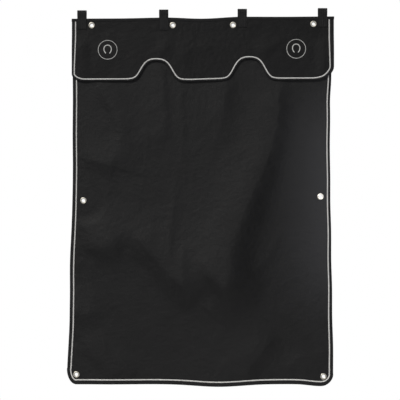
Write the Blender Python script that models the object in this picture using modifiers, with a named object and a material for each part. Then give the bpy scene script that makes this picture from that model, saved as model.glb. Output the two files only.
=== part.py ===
"""Stable curtain: a bound cloth panel with a shaped valance, hung by four webbing tabs.

Metres, +Z up.  The front of the curtain faces -Y and its width runs along X.  The origin is
the middle of the line on which the top edge hangs.  Every cloth piece is an open surface,
placed by a formula and given its thickness by Solidify; folds come forward, towards -Y.
"""
import math

import bmesh
import bpy
from mathutils import Vector

# Cloth and trim thicknesses
PANEL_CLOTH = 0.0015
VALANCE_CLOTH = 0.0015
HEADING_CLOTH = 0.0024
TAPE = 0.0010
WEBBING = 0.0020
GAP = 0.0003
TAPE_GAP = 0.0007

# Top edge: tab centres, how far the edge sags between them, and its slight tilt
TAB_CENTRES = (-0.6395, -0.2065, 0.2095, 0.6350)
RISES_AT_TABS = (0.0031, 0.0050, 0.0055, 0.0027)
SAGS_BETWEEN_TABS = (0.0016, 0.0080, 0.0010)
TOP_TILT = 0.0093
TOP_TAPE_HEIGHT = 0.016
HEADING_HEIGHT = 0.100
BAND_LEFT = -0.694
BAND_RIGHT = 0.696

# Main panel
HALF_WIDTH = 0.684
DROP = 1.9375
RIGHT_NARROWING = 0.0105
UPPER_RIGHT_WIDENING = 0.007
LEFT_WIDENING = 0.0025
LEFT_FLARES = ((0.0150, 0.88, 1.38), (0.0150, 1.56, 1.90))
RIGHT_FLARE = 0.0165
FLARE_SPAN = (0.80, 1.86)
HEM_LOW_SPOTS = ((0.012, 0.076, 0.16), (0.010, 0.62, 0.075))
LEFT_CORNER = (0.048, 0.080)
RIGHT_CORNER = (0.060, 0.055)
PANEL_TRIM_INSET = 0.0185
PANEL_TRIM_INSET_LOW = 0.0225
RIGHT_TRIM_INSET = 0.0160
PANEL_INNER_COLUMNS = 18
PANEL_ROWS = 26
SWELL = 0.006
HEM_WAVE = 0.005

# Valance
VALANCE_LEFT = -0.6906
VALANCE_RIGHT = 0.6925
VALANCE_DROP = 0.3315
VALANCE_Y = 0.0039
VALANCE_LEFT_INSETS = (0.0180, 0.0125)
VALANCE_RIGHT_INSETS = (0.0225, 0.0185)
VALANCE_LOW_INSET = 0.0100
VALANCE_LEFT_CORNER = (0.068, 0.038)
VALANCE_RIGHT_CORNER = (0.115, 0.072)
VALANCE_INNER_COLUMNS = 40
VALANCE_LOW_ROWS = 3
# Below its flat top the valance leans out evenly down to its foot, and more at both ends, where
# the panel's piped edges lie behind it
VALANCE_FLAT_TO = 0.072
VALANCE_LEAN = 0.0080
VALANCE_OVER_TRIM = 0.0052
# Each arch: its height and the middles of its two flanks; then how softly the flanks turn
LEFT_ARCH = (0.1085, -0.3205, -0.1678)
RIGHT_ARCH = (0.1160, 0.1709, 0.3229)
ARCH_SOFTNESS = 0.0155

# Trim and fittings
PIPING_RADIUS = 0.0033
TAB_WIDTH = 0.049
TAB_RISE = 0.0475
TAB_LOOP_RADIUS = 0.0095
TAB_NECK = 0.018
TAB_LEG = 0.055
TAB_FRONT_LEGS = (0.055, 0.066, 0.055, 0.055)
EYELET_HOLE = 0.0090
EYELET_RADIUS = 0.0170
EYELET_WALL = 0.0008
EYELET_DOME = 0.0024
EYELET_ROLL = 0.0010
WASHER = 0.0012
EYELET_SEGMENTS = 16
HOLE_IN_CLOTH = EYELET_HOLE + EYELET_WALL + 2.5 * GAP

TOP_EYELETS = ((-0.588, -0.038), (-0.158, -0.0375), (0.161, -0.0365), (0.587, -0.031))
PANEL_EYELETS = ((-0.632, -0.966), (0.624, -0.945), (-0.669, -1.887), (0.640, -1.898))

# Main folds of the panel.  Each has the points (x, z) of its crest, its height at the first and the
# last of them, its reach at both on one side (left of a crest that runs down, below one that runs
# right) and on the other side, and the shares of it over which its two ends fade
PANEL_FOLDS = (
    (((0.425, -0.16), (0.405, -0.38), (0.390, -0.58), (0.325, -0.80), (0.255, -0.96), (0.190, -1.13),
      (0.148, -1.26), (0.138, -1.36), (0.105, -1.445), (0.030, -1.475)), (0.0055, 0.0540),
     (0.100, 0.260), (0.036, 0.142), (0.16, 0.16)),
    (((-0.62, -0.24), (-0.535, -0.40), (-0.45, -0.55), (-0.435, -0.82)), (0.008, 0.008),
     (0.034, 0.034), (0.110, 0.090), (0.20, 0.30)),
    (((-0.385, -1.07), (-0.315, -1.20), (-0.215, -1.32), (-0.105, -1.43), (-0.03, -1.50)),
     (0.015, 0.026), (0.058, 0.080), (0.180, 0.190), (0.25, 0.16)),
    (((0.20, -1.49), (0.26, -1.43), (0.335, -1.385)), (0.007, 0.006), (0.050, 0.042),
     (0.130, 0.130), (0.35, 0.35)),
    (((-0.215, -0.20), (-0.20, -0.48), (-0.19, -0.66)), (0.004, 0.004), (0.080, 0.080),
     (0.024, 0.024), (0.20, 0.40)),
    (((0.135, -0.20), (0.125, -0.42), (0.075, -0.70)), (0.007, 0.008), (0.100, 0.100),
     (0.050, 0.050), (0.20, 0.40)),
    (((-0.64, -0.745), (-0.55, -0.768), (-0.46, -0.795)), (0.003, 0.017), (0.024, 0.068),
     (0.140, 0.130), (0.20, 0.20)),
    (((-0.60, -1.265), (-0.508, -1.200), (-0.42, -1.240)), (0.024, 0.024), (0.110, 0.110),
     (0.150, 0.150), (0.35, 0.35)),
    (((-0.70, -1.56), (-0.60, -1.565), (-0.52, -1.545)), (0.014, 0.014), (0.064, 0.064),
     (0.140, 0.140), (0.15, 0.50)),
    (((0.40, -1.66), (0.315, -1.77), (0.25, -1.86), (0.23, -1.91)), (0.013, 0.013), (0.120, 0.120),
     (0.040, 0.045), (0.30, 0.15)),
    (((-0.66, -1.70), (-0.55, -1.80), (-0.45, -1.91)), (0.005, 0.009), (0.052, 0.052),
     (0.120, 0.120), (0.30, 0.15)),
)
FOLD_FADE = (0.10, 0.42)
FOLD_BLEND = 0.030
SIDE_BLEND = 0.010
EYELET_FLAT = (0.075, 0.140)

# Main folds of the valance, in the same terms
VALANCE_FOLDS = (
    (((-0.19, -0.09), (-0.20, -0.15), (-0.205, -0.20)), (0.003, 0.004), (0.045, 0.045),
     (0.045, 0.045), (0.25, 0.25)),
    (((0.42, -0.10), (0.36, -0.15), (0.31, -0.20)), (0.003, 0.004), (0.060, 0.060),
     (0.060, 0.060), (0.25, 0.25)),
    (((-0.14, -0.22), (-0.06, -0.17), (0.06, -0.15)), (0.003, 0.002), (0.070, 0.070),
     (0.070, 0.070), (0.25, 0.25)),
    (((-0.62, -0.30), (-0.55, -0.22), (-0.46, -0.15)), (0.002, 0.002), (0.080, 0.080),
     (0.080, 0.080), (0.25, 0.25)),
)

BLACK_CLOTH = (0.014, 0.014, 0.015, 1.0)
BLACK_TAPE = (0.008, 0.008, 0.009, 1.0)
GREY_PIPING = (0.50, 0.50, 0.48, 1.0)
NICKEL = (0.66, 0.64, 0.60, 1.0)


# ---------------------------------------------------------------- small helpers
def clamp(value, low=0.0, high=1.0):
    return min(max(value, low), high)


def lerp(a, b, t):
    return a + (b - a) * t


def ramp(value, start, end):
    """Runs evenly from 0 at start to 1 at end."""
    return clamp((value - start) / (end - start))


def ease(value, start, end):
    """As ramp, with soft ends."""
    t = ramp(value, start, end)
    return t * t * (3.0 - 2.0 * t)


def bell(value, centre, width):
    return math.exp(-((value - centre) / width) ** 2)


def corner_lift(inset, run, rise):
    """Height of a quarter ellipse above its lowest point, at a distance inset from its side."""
    return rise * (1.0 - math.sqrt(1.0 - clamp(1.0 - inset / run) ** 2))


# ---------------------------------------------------------------- outlines
def top_edge(x):
    """Height of the curtain's top edge: straight from tab to tab, less a little sag between."""
    height = TOP_TILT * x + RISES_AT_TABS[0]
    for k, sag in enumerate(SAGS_BETWEEN_TABS):
        share = ramp(x, TAB_CENTRES[k], TAB_CENTRES[k + 1])
        height += (RISES_AT_TABS[k + 1] - RISES_AT_TABS[k]) * share
        height -= sag * math.sin(math.pi * share) ** 2
    return height


def heading_foot(x):
    return TOP_TILT * x - HEADING_HEIGHT


def left_edge(z):
    """The panel's left edge: it widens twice in its lower half and waves a little."""
    wider = sum(width * ease(-z, start, end) for width, start, end in LEFT_FLARES)
    return -HALF_WIDTH - LEFT_WIDENING - wider - 0.0006 * math.sin(z / 0.055)


def right_edge(z):
    """The right edge, the same, and a little wider again behind the valance."""
    wider = UPPER_RIGHT_WIDENING * (1.0 - ease(-z, 0.32, 0.46)) + RIGHT_FLARE * ramp(-z, *FLARE_SPAN)
    return HALF_WIDTH - RIGHT_NARROWING + wider + 0.0010 * math.sin(z / 0.048)


def right_inset(z):
    """Visible width of the right edge's trim: the edge turns back where it looks narrow."""
    return lerp(RIGHT_TRIM_INSET, PANEL_TRIM_INSET, ease(-z, 0.85, 1.85))


def panel_foot(x):
    """Lower edge of the panel before its corners are rounded: level but for its low spots."""
    return -DROP - sum(depth * bell(x, centre, width) for depth, centre, width in HEM_LOW_SPOTS)


def panel_corner(x):
    left = corner_lift(x - left_edge(-DROP), *LEFT_CORNER)
    right = corner_lift(right_edge(-DROP) - x, *RIGHT_CORNER)
    return max(left, right)


def arch(x, height, left, right):
    """Two soft steps, up to the height at left and down again at right."""
    up = 1.0 / (1.0 + math.exp((left - x) / ARCH_SOFTNESS))
    down = 1.0 / (1.0 + math.exp((x - right) / ARCH_SOFTNESS))
    return height * up * down


def valance_foot(x):
    """Lower edge of the valance: two arches and two round corners."""
    level = -VALANCE_DROP + 0.0050 * x - 0.0045 * bell(x, -0.09, 0.12)
    arches = arch(x, *LEFT_ARCH) + arch(x, *RIGHT_ARCH)
    left = corner_lift(x - VALANCE_LEFT, *VALANCE_LEFT_CORNER)
    right = corner_lift(VALANCE_RIGHT - x, *VALANCE_RIGHT_CORNER)
    return level + arches + max(left, right)


# ---------------------------------------------------------------- folds
def spline(points, count=18):
    """Points evenly along a Catmull-Rom curve through the given ones."""
    ends = [points[0]] + list(points) + [points[-1]]
    out = []
    for k in range(count + 1):
        place = k / count * (len(points) - 1)
        i = min(int(place), len(points) - 2)
        t = place - i
        row = []
        for axis in (0, 1):
            a, b, c, d = (ends[i + n][axis] for n in range(4))
            row.append(0.5 * (2 * b + (c - a) * t + (2 * a - 5 * b + 4 * c - d) * t * t
                              + (3 * b - a - 3 * c + d) * t ** 3))
        out.append(tuple(row))
    return out


def fold_height(x, z, crests):
    """Sum of the folds at (x, z): each is a bell across its crest, unlike on its two sides.

    Each short piece of a crest gives a height, and the mean is taken with weights that fall off
    with its distance, so that no edge shows where two pieces meet."""
    total = 0.0
    for line, heights, one_side, other_side, fades in crests:
        pieces = []
        for k, (a, b) in enumerate(zip(line, line[1:])):
            dx = b[0] - a[0]
            dz = b[1] - a[1]
            t = clamp(((x - a[0]) * dx + (z - a[1]) * dz) / (dx * dx + dz * dz))
            away_x = x - a[0] - dx * t
            away_z = z - a[1] - dz * t
            distance = math.hypot(away_x, away_z)
            along = (k + t) / (len(line) - 1)
            across = (dx * away_z - dz * away_x) / math.hypot(dx, dz)
            other = ease(across, -SIDE_BLEND, SIDE_BLEND)
            reach = lerp(lerp(*one_side, along), lerp(*other_side, along), other)
            ends = ease(along, 0.0, fades[0]) * ease(1.0 - along, 0.0, fades[1])
            pieces.append((distance, lerp(*heights, along) * ends * bell(distance, 0.0, reach)))
        nearest = min(pieces)[0]
        weights = [math.exp((nearest - distance) / FOLD_BLEND) for distance, height in pieces]
        total += sum(w * height for w, (_, height) in zip(weights, pieces)) / sum(weights)
    return total


PANEL_CRESTS = [(spline(points), *rest) for points, *rest in PANEL_FOLDS]
VALANCE_CRESTS = [(spline(points), *rest) for points, *rest in VALANCE_FOLDS]


def free_panel_depth(x, z):
    """How far the panel stands forward of the heading's plane, away from its eyelets."""
    swell = SWELL * ease(-z, 0.30, 1.10) * math.cos(2.2 * x)
    hem_wave = HEM_WAVE * math.sin(9.0 * x + 0.6) * ease(-z, 1.45, 1.90)
    folds = fold_height(x, z, PANEL_CRESTS) * ease(-z, *FOLD_FADE)
    return swell + hem_wave + folds


EYELET_DEPTHS = [free_panel_depth(x, z) for x, z in PANEL_EYELETS]


def panel_depth(x, z):
    """Forward depth of the panel: level across its bound edge, flat round each eyelet."""
    right = right_edge(z)
    trim = right_inset(z)
    inner_x = clamp(x, left_edge(z) + PANEL_TRIM_INSET, right - trim)
    inner_z = max(z, panel_foot(x) + PANEL_TRIM_INSET_LOW)
    depth = free_panel_depth(inner_x, inner_z)
    for (ex, ez), level in zip(PANEL_EYELETS, EYELET_DEPTHS):
        depth = lerp(level, depth, ease(math.hypot(x - ex, z - ez), *EYELET_FLAT))
    turned_back = math.sqrt(max(PANEL_TRIM_INSET ** 2 - trim ** 2, 0.0))
    return depth - turned_back * ramp(x, right - trim, right)


def valance_depth(x, z):
    """Forward depth of the valance: flat at the eyelets, then standing clear of the panel."""
    hang = VALANCE_LEAN * ramp(-z, VALANCE_FLAT_TO, VALANCE_DROP)
    over_trim = ease(abs(x), 0.585, 0.645) * ease(-z, 0.080, 0.160)
    hang += VALANCE_OVER_TRIM * over_trim * (1.0 - 0.7 * ramp(-z, 0.18, VALANCE_DROP))
    clear_of_trim = ease(-z, 0.08, 0.16) * ease(z - valance_foot(x), 0.015, 0.060)
    return VALANCE_Y + hang + fold_height(x, z, VALANCE_CRESTS) * clear_of_trim


# ---------------------------------------------------------------- making pieces
def material(name, colour, roughness, metallic=0.0):
    made = bpy.data.materials.get(name) or bpy.data.materials.new(name)
    made.use_nodes = True
    shader = made.node_tree.nodes["Principled BSDF"]
    shader.inputs["Base Color"].default_value = colour
    shader.inputs["Roughness"].default_value = roughness
    shader.inputs["Metallic"].default_value = metallic
    return made


def add_piece(name, mesh, finish, collection):
    piece = bpy.data.objects.new(name, mesh)
    collection.objects.link(piece)
    if not mesh.materials:
        mesh.materials.append(finish)
    mesh.shade_smooth()
    mesh.set_sharp_from_angle(angle=math.radians(40))
    return piece


def sheet(name, columns, rows, place, thickness, finish, collection):
    """A grid of columns x rows quads, each corner put where place(column, row) says."""
    grid = bmesh.new()
    bmesh.ops.create_grid(grid, x_segments=columns, y_segments=rows, size=0.5)
    for vert in grid.verts:
        column = round((vert.co.x + 0.5) * columns)
        row = round((vert.co.y + 0.5) * rows)
        vert.co = place(column, row)
    mesh = bpy.data.meshes.new(name)
    grid.to_mesh(mesh)
    grid.free()
    piece = add_piece(name, mesh, finish, collection)
    solid = piece.modifiers.new("thickness", "SOLIDIFY")
    solid.thickness = thickness
    solid.offset = 0.0
    solid.use_even_offset = True
    return piece


def edge_frames(outline, insets, depth_at):
    """Frames along a bound edge: the cloth's edge, the trim line inside it, out and forward."""
    frames = []
    for k, (x, z) in enumerate(outline):
        before = outline[max(k - 1, 0)]
        after = outline[min(k + 1, len(outline) - 1)]
        run = Vector((after[0] - before[0], 0.0, after[1] - before[1])).normalized()
        inward = Vector((-run.z, 0.0, run.x))
        trim_x = x + inward.x * insets[k]
        trim_z = z + inward.z * insets[k]
        edge = Vector((x, -depth_at(x, z), z))
        trim = Vector((trim_x, -depth_at(trim_x, trim_z), trim_z))
        outward = (edge - trim).normalized()
        forward = run.cross(outward).normalized()
        if forward.y > 0.0:
            forward.negate()
        frames.append((edge, trim, outward, forward))
    return frames


def binding(name, frames, cloth, finish, collection):
    """Tape folded round a cloth edge: a U from the piping in front, round, to the same behind."""
    lift = cloth / 2 + TAPE_GAP + TAPE / 2

    def place(station, corner):
        edge, trim, outward, forward = frames[station]
        clear_of_piping = trim + outward * (PIPING_RADIUS + GAP)
        wrapped = edge + outward * (TAPE_GAP + TAPE / 2)
        ends = (clear_of_piping, wrapped, wrapped, clear_of_piping)
        sides = (1.0, 1.0, -1.0, -1.0)
        return ends[corner] + forward * lift * sides[corner]

    return sheet(name, len(frames) - 1, 3, place, TAPE, finish, collection)


def piping(name, frames, cloth, finish, collection):
    """Round cord along the inner edge of the binding, on the front of the cloth."""
    curve = bpy.data.curves.new(name, "CURVE")
    curve.dimensions = "3D"
    curve.bevel_depth = PIPING_RADIUS
    curve.bevel_resolution = 2
    curve.use_fill_caps = True
    line = curve.splines.new("POLY")
    line.points.add(len(frames) - 1)
    for point, (_, trim, _, forward) in zip(line.points, frames):
        centre = trim + forward * (cloth / 2 + TAPE_GAP + PIPING_RADIUS)
        point.co = (*centre, 1.0)
    piece = bpy.data.objects.new(name, curve)
    collection.objects.link(piece)
    curve.materials.append(finish)
    return piece


def cut_holes(piece, centres, depth_at, cutters):
    """Bores a round hole through the cloth at each eyelet."""
    for number, (x, z) in enumerate(centres, 1):
        hole = bmesh.new()
        bmesh.ops.create_cone(hole, cap_ends=True, segments=EYELET_SEGMENTS, depth=0.02,
                              radius1=HOLE_IN_CLOTH, radius2=HOLE_IN_CLOTH)
        mesh = bpy.data.meshes.new(f"{piece.name}_hole_{number}")
        hole.to_mesh(mesh)
        hole.free()
        cutter = bpy.data.objects.new(mesh.name, mesh)
        cutters.objects.link(cutter)
        cutter.rotation_euler.x = math.pi / 2
        cutter.location = (x, -depth_at(x, z), z)
        cutter.hide_render = True
        cutter.display_type = "WIRE"
        cut = piece.modifiers.new(f"hole {number}", "BOOLEAN")
        cut.operation = "DIFFERENCE"
        cut.object = cutter


def turned(name, profile, finish, place, collection):
    """A ring turned from a closed profile of (radius, depth behind the cloth's face)."""
    mesh = bpy.data.meshes.get(name) or bpy.data.meshes.new(name)
    verts = [(radius, 0.0, -behind) for radius, behind in profile]
    edges = [(k, (k + 1) % len(profile)) for k in range(len(profile))]
    mesh.from_pydata(verts, edges, [])
    piece = bpy.data.objects.new(name, mesh)
    collection.objects.link(piece)
    mesh.materials.append(finish)
    screw = piece.modifiers.new("turn", "SCREW")
    screw.steps = EYELET_SEGMENTS
    screw.render_steps = EYELET_SEGMENTS
    screw.use_merge_vertices = True
    screw.merge_threshold = 0.00005
    screw.use_smooth_shade = True
    piece.rotation_euler.x = math.pi / 2
    piece.location = place
    return piece


# ---------------------------------------------------------------- the pieces
def band_x(column, columns, left=BAND_LEFT, right=BAND_RIGHT):
    return lerp(left, right, column / columns)


def make_heading_strip(finish, collection, cutters):
    """Doubled strip behind the valance that carries the top eyelets and the tabs."""
    columns = 28

    def place(column, row):
        x = band_x(column, columns, -HALF_WIDTH, HALF_WIDTH - 0.004)
        top = top_edge(x) - TAPE_GAP - TAPE
        return Vector((x, 0.0, lerp(heading_foot(x), top, row)))

    strip = sheet("heading_strip", columns, 1, place, HEADING_CLOTH, finish, collection)
    cut_holes(strip, TOP_EYELETS, lambda x, z: 0.0, cutters)


def make_top_binding(finish, collection):
    """Tape folded over the top edge of valance and heading together."""
    columns = 28
    front = -(VALANCE_Y + VALANCE_CLOTH / 2 + GAP + TAPE / 2)
    back = HEADING_CLOTH / 2 + GAP + TAPE / 2

    def place(column, row):
        x = band_x(column, columns)
        top = top_edge(x) - TAPE / 2
        low = top_edge(x) - TOP_TAPE_HEIGHT
        return Vector((x, (front, front, back, back)[row], (low, top, top, low)[row]))

    return sheet("top_binding", columns, 3, place, TAPE, finish, collection)


def panel_column_xs(z):
    """The panel's columns at height z: closer at both edges, where the trim and corners are."""
    left = left_edge(z)
    right = right_edge(z)
    right_trim = right_inset(z)
    first = left + 0.10
    last = right - 0.10
    middle = [lerp(first, last, k / PANEL_INNER_COLUMNS) for k in range(PANEL_INNER_COLUMNS + 1)]
    near_left = [left, left + 0.35 * PANEL_TRIM_INSET, left + PANEL_TRIM_INSET, left + 0.048]
    near_right = [right - 0.048, right - right_trim, right - 0.35 * right_trim, right]
    return near_left + middle + near_right


def make_panel(cloth, tape, cord, collection, cutters):
    """The curtain's main cloth with its bound and piped sides and lower edge."""
    columns = len(panel_column_xs(0.0)) - 1
    rows = PANEL_ROWS

    def flat_place(column, row):
        if row == rows:
            x = panel_column_xs(-DROP)[column]
            return x, panel_foot(x) + panel_corner(x)
        t = row / (rows - 1)
        x = panel_column_xs(lerp(-HEADING_HEIGHT, PANEL_TRIM_INSET_LOW - DROP, t))[column]
        top = heading_foot(x) - GAP
        z = lerp(top, panel_foot(x) + PANEL_TRIM_INSET_LOW, t) + panel_corner(x) * ramp(t, 0.88, 1.0)
        return panel_column_xs(z)[column], z

    def place(column, row):
        x, z = flat_place(column, row)
        return Vector((x, -panel_depth(x, z), z))

    panel = sheet("main_panel", columns, rows, place, PANEL_CLOTH, cloth, collection)
    cut_holes(panel, PANEL_EYELETS, panel_depth, cutters)

    outline = [flat_place(0, row) for row in range(rows)]
    outline += [flat_place(column, rows) for column in range(columns + 1)]
    outline += [flat_place(columns, row) for row in reversed(range(rows))]
    insets = []
    for x, z in outline:
        low = ease(x, left_edge(z), left_edge(z) + 0.06) * ease(right_edge(z) - x, 0.0, 0.06)
        side = PANEL_TRIM_INSET if x < 0.0 else right_inset(z)
        insets.append(lerp(side, PANEL_TRIM_INSET_LOW, low))
    frames = edge_frames(outline, insets, panel_depth)
    binding("panel_binding", frames, PANEL_CLOTH, tape, collection)
    piping("panel_piping", frames[1:-1], PANEL_CLOTH, cord, collection)


def valance_columns():
    close = [0.0, 0.008, 0.028, 0.060]
    inner = VALANCE_INNER_COLUMNS
    width = VALANCE_RIGHT - VALANCE_LEFT
    middle = [lerp(close[-1], width - close[-1], k / inner) for k in range(1, inner)]
    return [VALANCE_LEFT + c for c in close + middle] + [VALANCE_RIGHT - c for c in reversed(close)]


def make_valance(cloth, tape, cord, collection, cutters):
    """The short front flap with two arches in its bound and piped lower edge."""
    xs = valance_columns()
    columns = len(xs) - 1
    over_trim_at = 0.135
    rows = 4 + VALANCE_LOW_ROWS

    def flat_place(column, row):
        x = xs[column]
        upper = (top_edge(x) - TAPE_GAP - TAPE, top_edge(x) - TOP_TAPE_HEIGHT - TAPE / 2 - GAP,
                 -VALANCE_FLAT_TO, -(VALANCE_FLAT_TO + over_trim_at) / 2)
        if row < len(upper):
            return x, upper[row]
        return x, lerp(-over_trim_at, valance_foot(x), (row - len(upper)) / VALANCE_LOW_ROWS)

    def place(column, row):
        x, z = flat_place(column, row)
        return Vector((x, -valance_depth(x, z), z))

    valance = sheet("valance", columns, rows, place, VALANCE_CLOTH, cloth, collection)
    cut_holes(valance, TOP_EYELETS, valance_depth, cutters)

    outline = [flat_place(0, row) for row in range(1, rows)]
    outline += [flat_place(column, rows) for column in range(columns + 1)]
    outline += [flat_place(columns, row) for row in reversed(range(1, rows))]
    insets = []
    for x, z in outline:
        low = ease(x - VALANCE_LEFT, 0.0, 0.06) * ease(VALANCE_RIGHT - x, 0.0, 0.06)
        side = lerp(*(VALANCE_LEFT_INSETS if x < 0.0 else VALANCE_RIGHT_INSETS), ease(-z, 0.10, 0.29))
        insets.append(lerp(side, VALANCE_LOW_INSET, low))
    frames = edge_frames(outline, insets, valance_depth)
    binding("valance_binding", frames, VALANCE_CLOTH, tape, collection)
    piping("valance_piping", frames, VALANCE_CLOTH, cord, collection)


def make_tab(number, centre, leg, finish, collection):
    """A loop of webbing over the top edge, open along X, its legs sewn front and back."""
    edge = top_edge(centre)
    front = -(VALANCE_Y + VALANCE_CLOTH / 2 + 2 * GAP + TAPE + WEBBING / 2)
    back = HEADING_CLOTH / 2 + 2 * GAP + TAPE + WEBBING / 2
    middle = (front + back) / 2
    crown = TOP_TILT * centre + TAB_RISE - TAB_LOOP_RADIUS - WEBBING / 2
    over_edge = edge + WEBBING
    neck = edge + TAB_NECK
    turns = 8
    route = [(front, edge - leg), (front, edge - leg / 2), (front, over_edge)]
    route.append((middle - TAB_LOOP_RADIUS, neck))
    for k in range(turns + 1):
        across = TAB_LOOP_RADIUS * math.cos(math.pi * k / turns)
        route.append((middle - across, crown + TAB_LOOP_RADIUS * math.sin(math.pi * k / turns)))
    route += [(middle + TAB_LOOP_RADIUS, neck), (back, over_edge), (back, edge - TAB_LEG)]

    def place(column, row):
        y, z = route[row]
        return Vector((centre + (column - 0.5) * TAB_WIDTH, y, z))

    return sheet(f"tab_{number}", 1, len(route) - 1, place, WEBBING, finish, collection)


def eyelet_profile(grip):
    """Section of an eyelet: domed flange, barrel through the cloth, end rolled over a washer."""
    barrel = EYELET_HOLE + EYELET_WALL
    roll = grip + WASHER + GAP
    return [
        (EYELET_HOLE, roll + 0.6 * EYELET_ROLL), (EYELET_HOLE, -0.4 * EYELET_DOME),
        (EYELET_HOLE + 0.0024, -EYELET_DOME), (EYELET_RADIUS - 0.0026, -0.8 * EYELET_DOME),
        (EYELET_RADIUS, -0.25 * EYELET_DOME), (EYELET_RADIUS - 0.0006, 0.0), (barrel, 0.0),
        (barrel, roll), (barrel + 0.0026, roll), (barrel + 0.0020, roll + EYELET_ROLL)]


def washer_profile(grip):
    """Section of the domed ring that the barrel's end is rolled over."""
    inner = EYELET_HOLE + EYELET_WALL + GAP
    outer = EYELET_RADIUS - 0.0015
    return [(outer, grip), (outer, grip + 0.5 * WASHER), (lerp(inner, outer, 0.5), grip + WASHER),
            (inner, grip + 0.7 * WASHER), (inner, grip)]


def make_eyelets(finish, collection):
    """Eight eyelets with washers: four through the heading, four in the panel."""
    top_face = -(VALANCE_Y + VALANCE_CLOTH / 2 + GAP)
    top_grip = HEADING_CLOTH / 2 + GAP - top_face
    seats = [(x, top_face, z, top_grip) for x, z in TOP_EYELETS]
    for (x, z), depth in zip(PANEL_EYELETS, EYELET_DEPTHS):
        seats.append((x, -depth - PANEL_CLOTH / 2 - GAP, z, PANEL_CLOTH + 2 * GAP))
    for number, (x, y, z, grip) in enumerate(seats, 1):
        turned(f"eyelet_{number}", eyelet_profile(grip), finish, (x, y, z), collection)
        turned(f"washer_{number}", washer_profile(grip), finish, (x, y, z), collection)


def main():
    for old in list(bpy.data.objects):
        bpy.data.objects.remove(old, do_unlink=True)
    parts = bpy.data.collections.new("stable_curtain")
    cutters = bpy.data.collections.new("cutters")
    bpy.context.scene.collection.children.link(parts)
    bpy.context.scene.collection.children.link(cutters)

    cloth = material("black woven cloth", BLACK_CLOTH, 0.80)
    tape = material("black binding tape", BLACK_TAPE, 0.70)
    webbing = material("black webbing", BLACK_CLOTH, 0.75)
    cord = material("light grey piping", GREY_PIPING, 0.60)
    nickel = material("nickel plate", NICKEL, 0.30, metallic=1.0)

    make_heading_strip(cloth, parts, cutters)
    make_panel(cloth, tape, cord, parts, cutters)
    make_valance(cloth, tape, cord, parts, cutters)
    make_top_binding(tape, parts)
    for number, (centre, leg) in enumerate(zip(TAB_CENTRES, TAB_FRONT_LEGS), 1):
        make_tab(number, centre, leg, webbing, parts)
    make_eyelets(nickel, parts)


main()
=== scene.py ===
"""Looks of a stable curtain: woven polyester, bound and piped, hung by webbing tabs.

Metres, +Z up, the front faces -Y.  Every cloth piece is a surface over two parameters, worked out
as whole arrays.  Depth means how far a point stands forward of the heading's plane, towards -Y.
"""

import math

import bmesh
import bpy
import numpy as np
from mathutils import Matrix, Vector


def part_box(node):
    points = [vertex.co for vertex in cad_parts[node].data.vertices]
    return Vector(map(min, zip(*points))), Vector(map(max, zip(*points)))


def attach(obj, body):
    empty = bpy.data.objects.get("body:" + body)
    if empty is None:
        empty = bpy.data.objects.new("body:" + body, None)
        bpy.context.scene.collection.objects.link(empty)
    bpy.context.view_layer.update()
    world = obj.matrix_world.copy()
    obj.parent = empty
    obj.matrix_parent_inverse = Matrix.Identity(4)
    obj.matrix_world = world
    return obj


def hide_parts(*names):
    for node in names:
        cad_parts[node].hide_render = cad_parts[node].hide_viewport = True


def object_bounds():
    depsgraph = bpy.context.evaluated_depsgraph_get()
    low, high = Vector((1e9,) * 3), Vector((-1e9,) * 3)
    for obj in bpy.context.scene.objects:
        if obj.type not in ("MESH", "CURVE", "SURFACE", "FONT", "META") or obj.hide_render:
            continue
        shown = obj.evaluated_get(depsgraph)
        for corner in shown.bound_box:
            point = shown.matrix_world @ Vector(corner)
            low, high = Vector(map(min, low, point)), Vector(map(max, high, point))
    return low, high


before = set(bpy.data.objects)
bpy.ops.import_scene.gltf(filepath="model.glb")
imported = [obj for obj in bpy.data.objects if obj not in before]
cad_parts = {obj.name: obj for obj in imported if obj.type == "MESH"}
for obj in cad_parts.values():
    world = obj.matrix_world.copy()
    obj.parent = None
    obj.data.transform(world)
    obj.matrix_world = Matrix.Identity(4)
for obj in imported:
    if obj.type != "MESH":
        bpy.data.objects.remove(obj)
cad_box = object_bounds()

# ---------------------------------------------------------------- sizes, in metres
# Cloth, tape, webbing and thread.  Pieces lie a gap apart, and cloth is cut short of its bound edge
PANEL_CLOTH = 0.0015
VALANCE_CLOTH = 0.0015
HEADING_LAYER = 0.0010
HEADING_CLOTH = 0.0024
TAPE = 0.0010
TAPE_GAP = 0.0007
WEBBING = 0.0020
GAP = 0.0003
CUT_EDGE = 0.001
PIPING_RADIUS = 0.0034
THREAD_RADIUS = 0.00035
STITCH = 0.0042
STITCH_GAP = 0.0012

# Top edge: tab centres, rises at them and sags between them, and its slight tilt
TAB_CENTRES = [(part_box(f"tab_{n}")[0].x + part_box(f"tab_{n}")[1].x) / 2 for n in (1, 2, 3, 4)]
RISES_AT_TABS = (0.0031, 0.0050, 0.0055, 0.0027)
SAGS_BETWEEN_TABS = (0.0016, 0.0080, 0.0010)
TOP_TILT = 0.0093
HEADING_HEIGHT = 0.100
# The heading reaches below its foot and ends short of the panel's right side; its two layers part
# between two heights above the foot
HEADING_BELOW = 0.004
HEADING_SHORT = 0.004
HEADING_PARTS = (0.010, 0.028)
HEADING_GRID = (150, 24)

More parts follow.
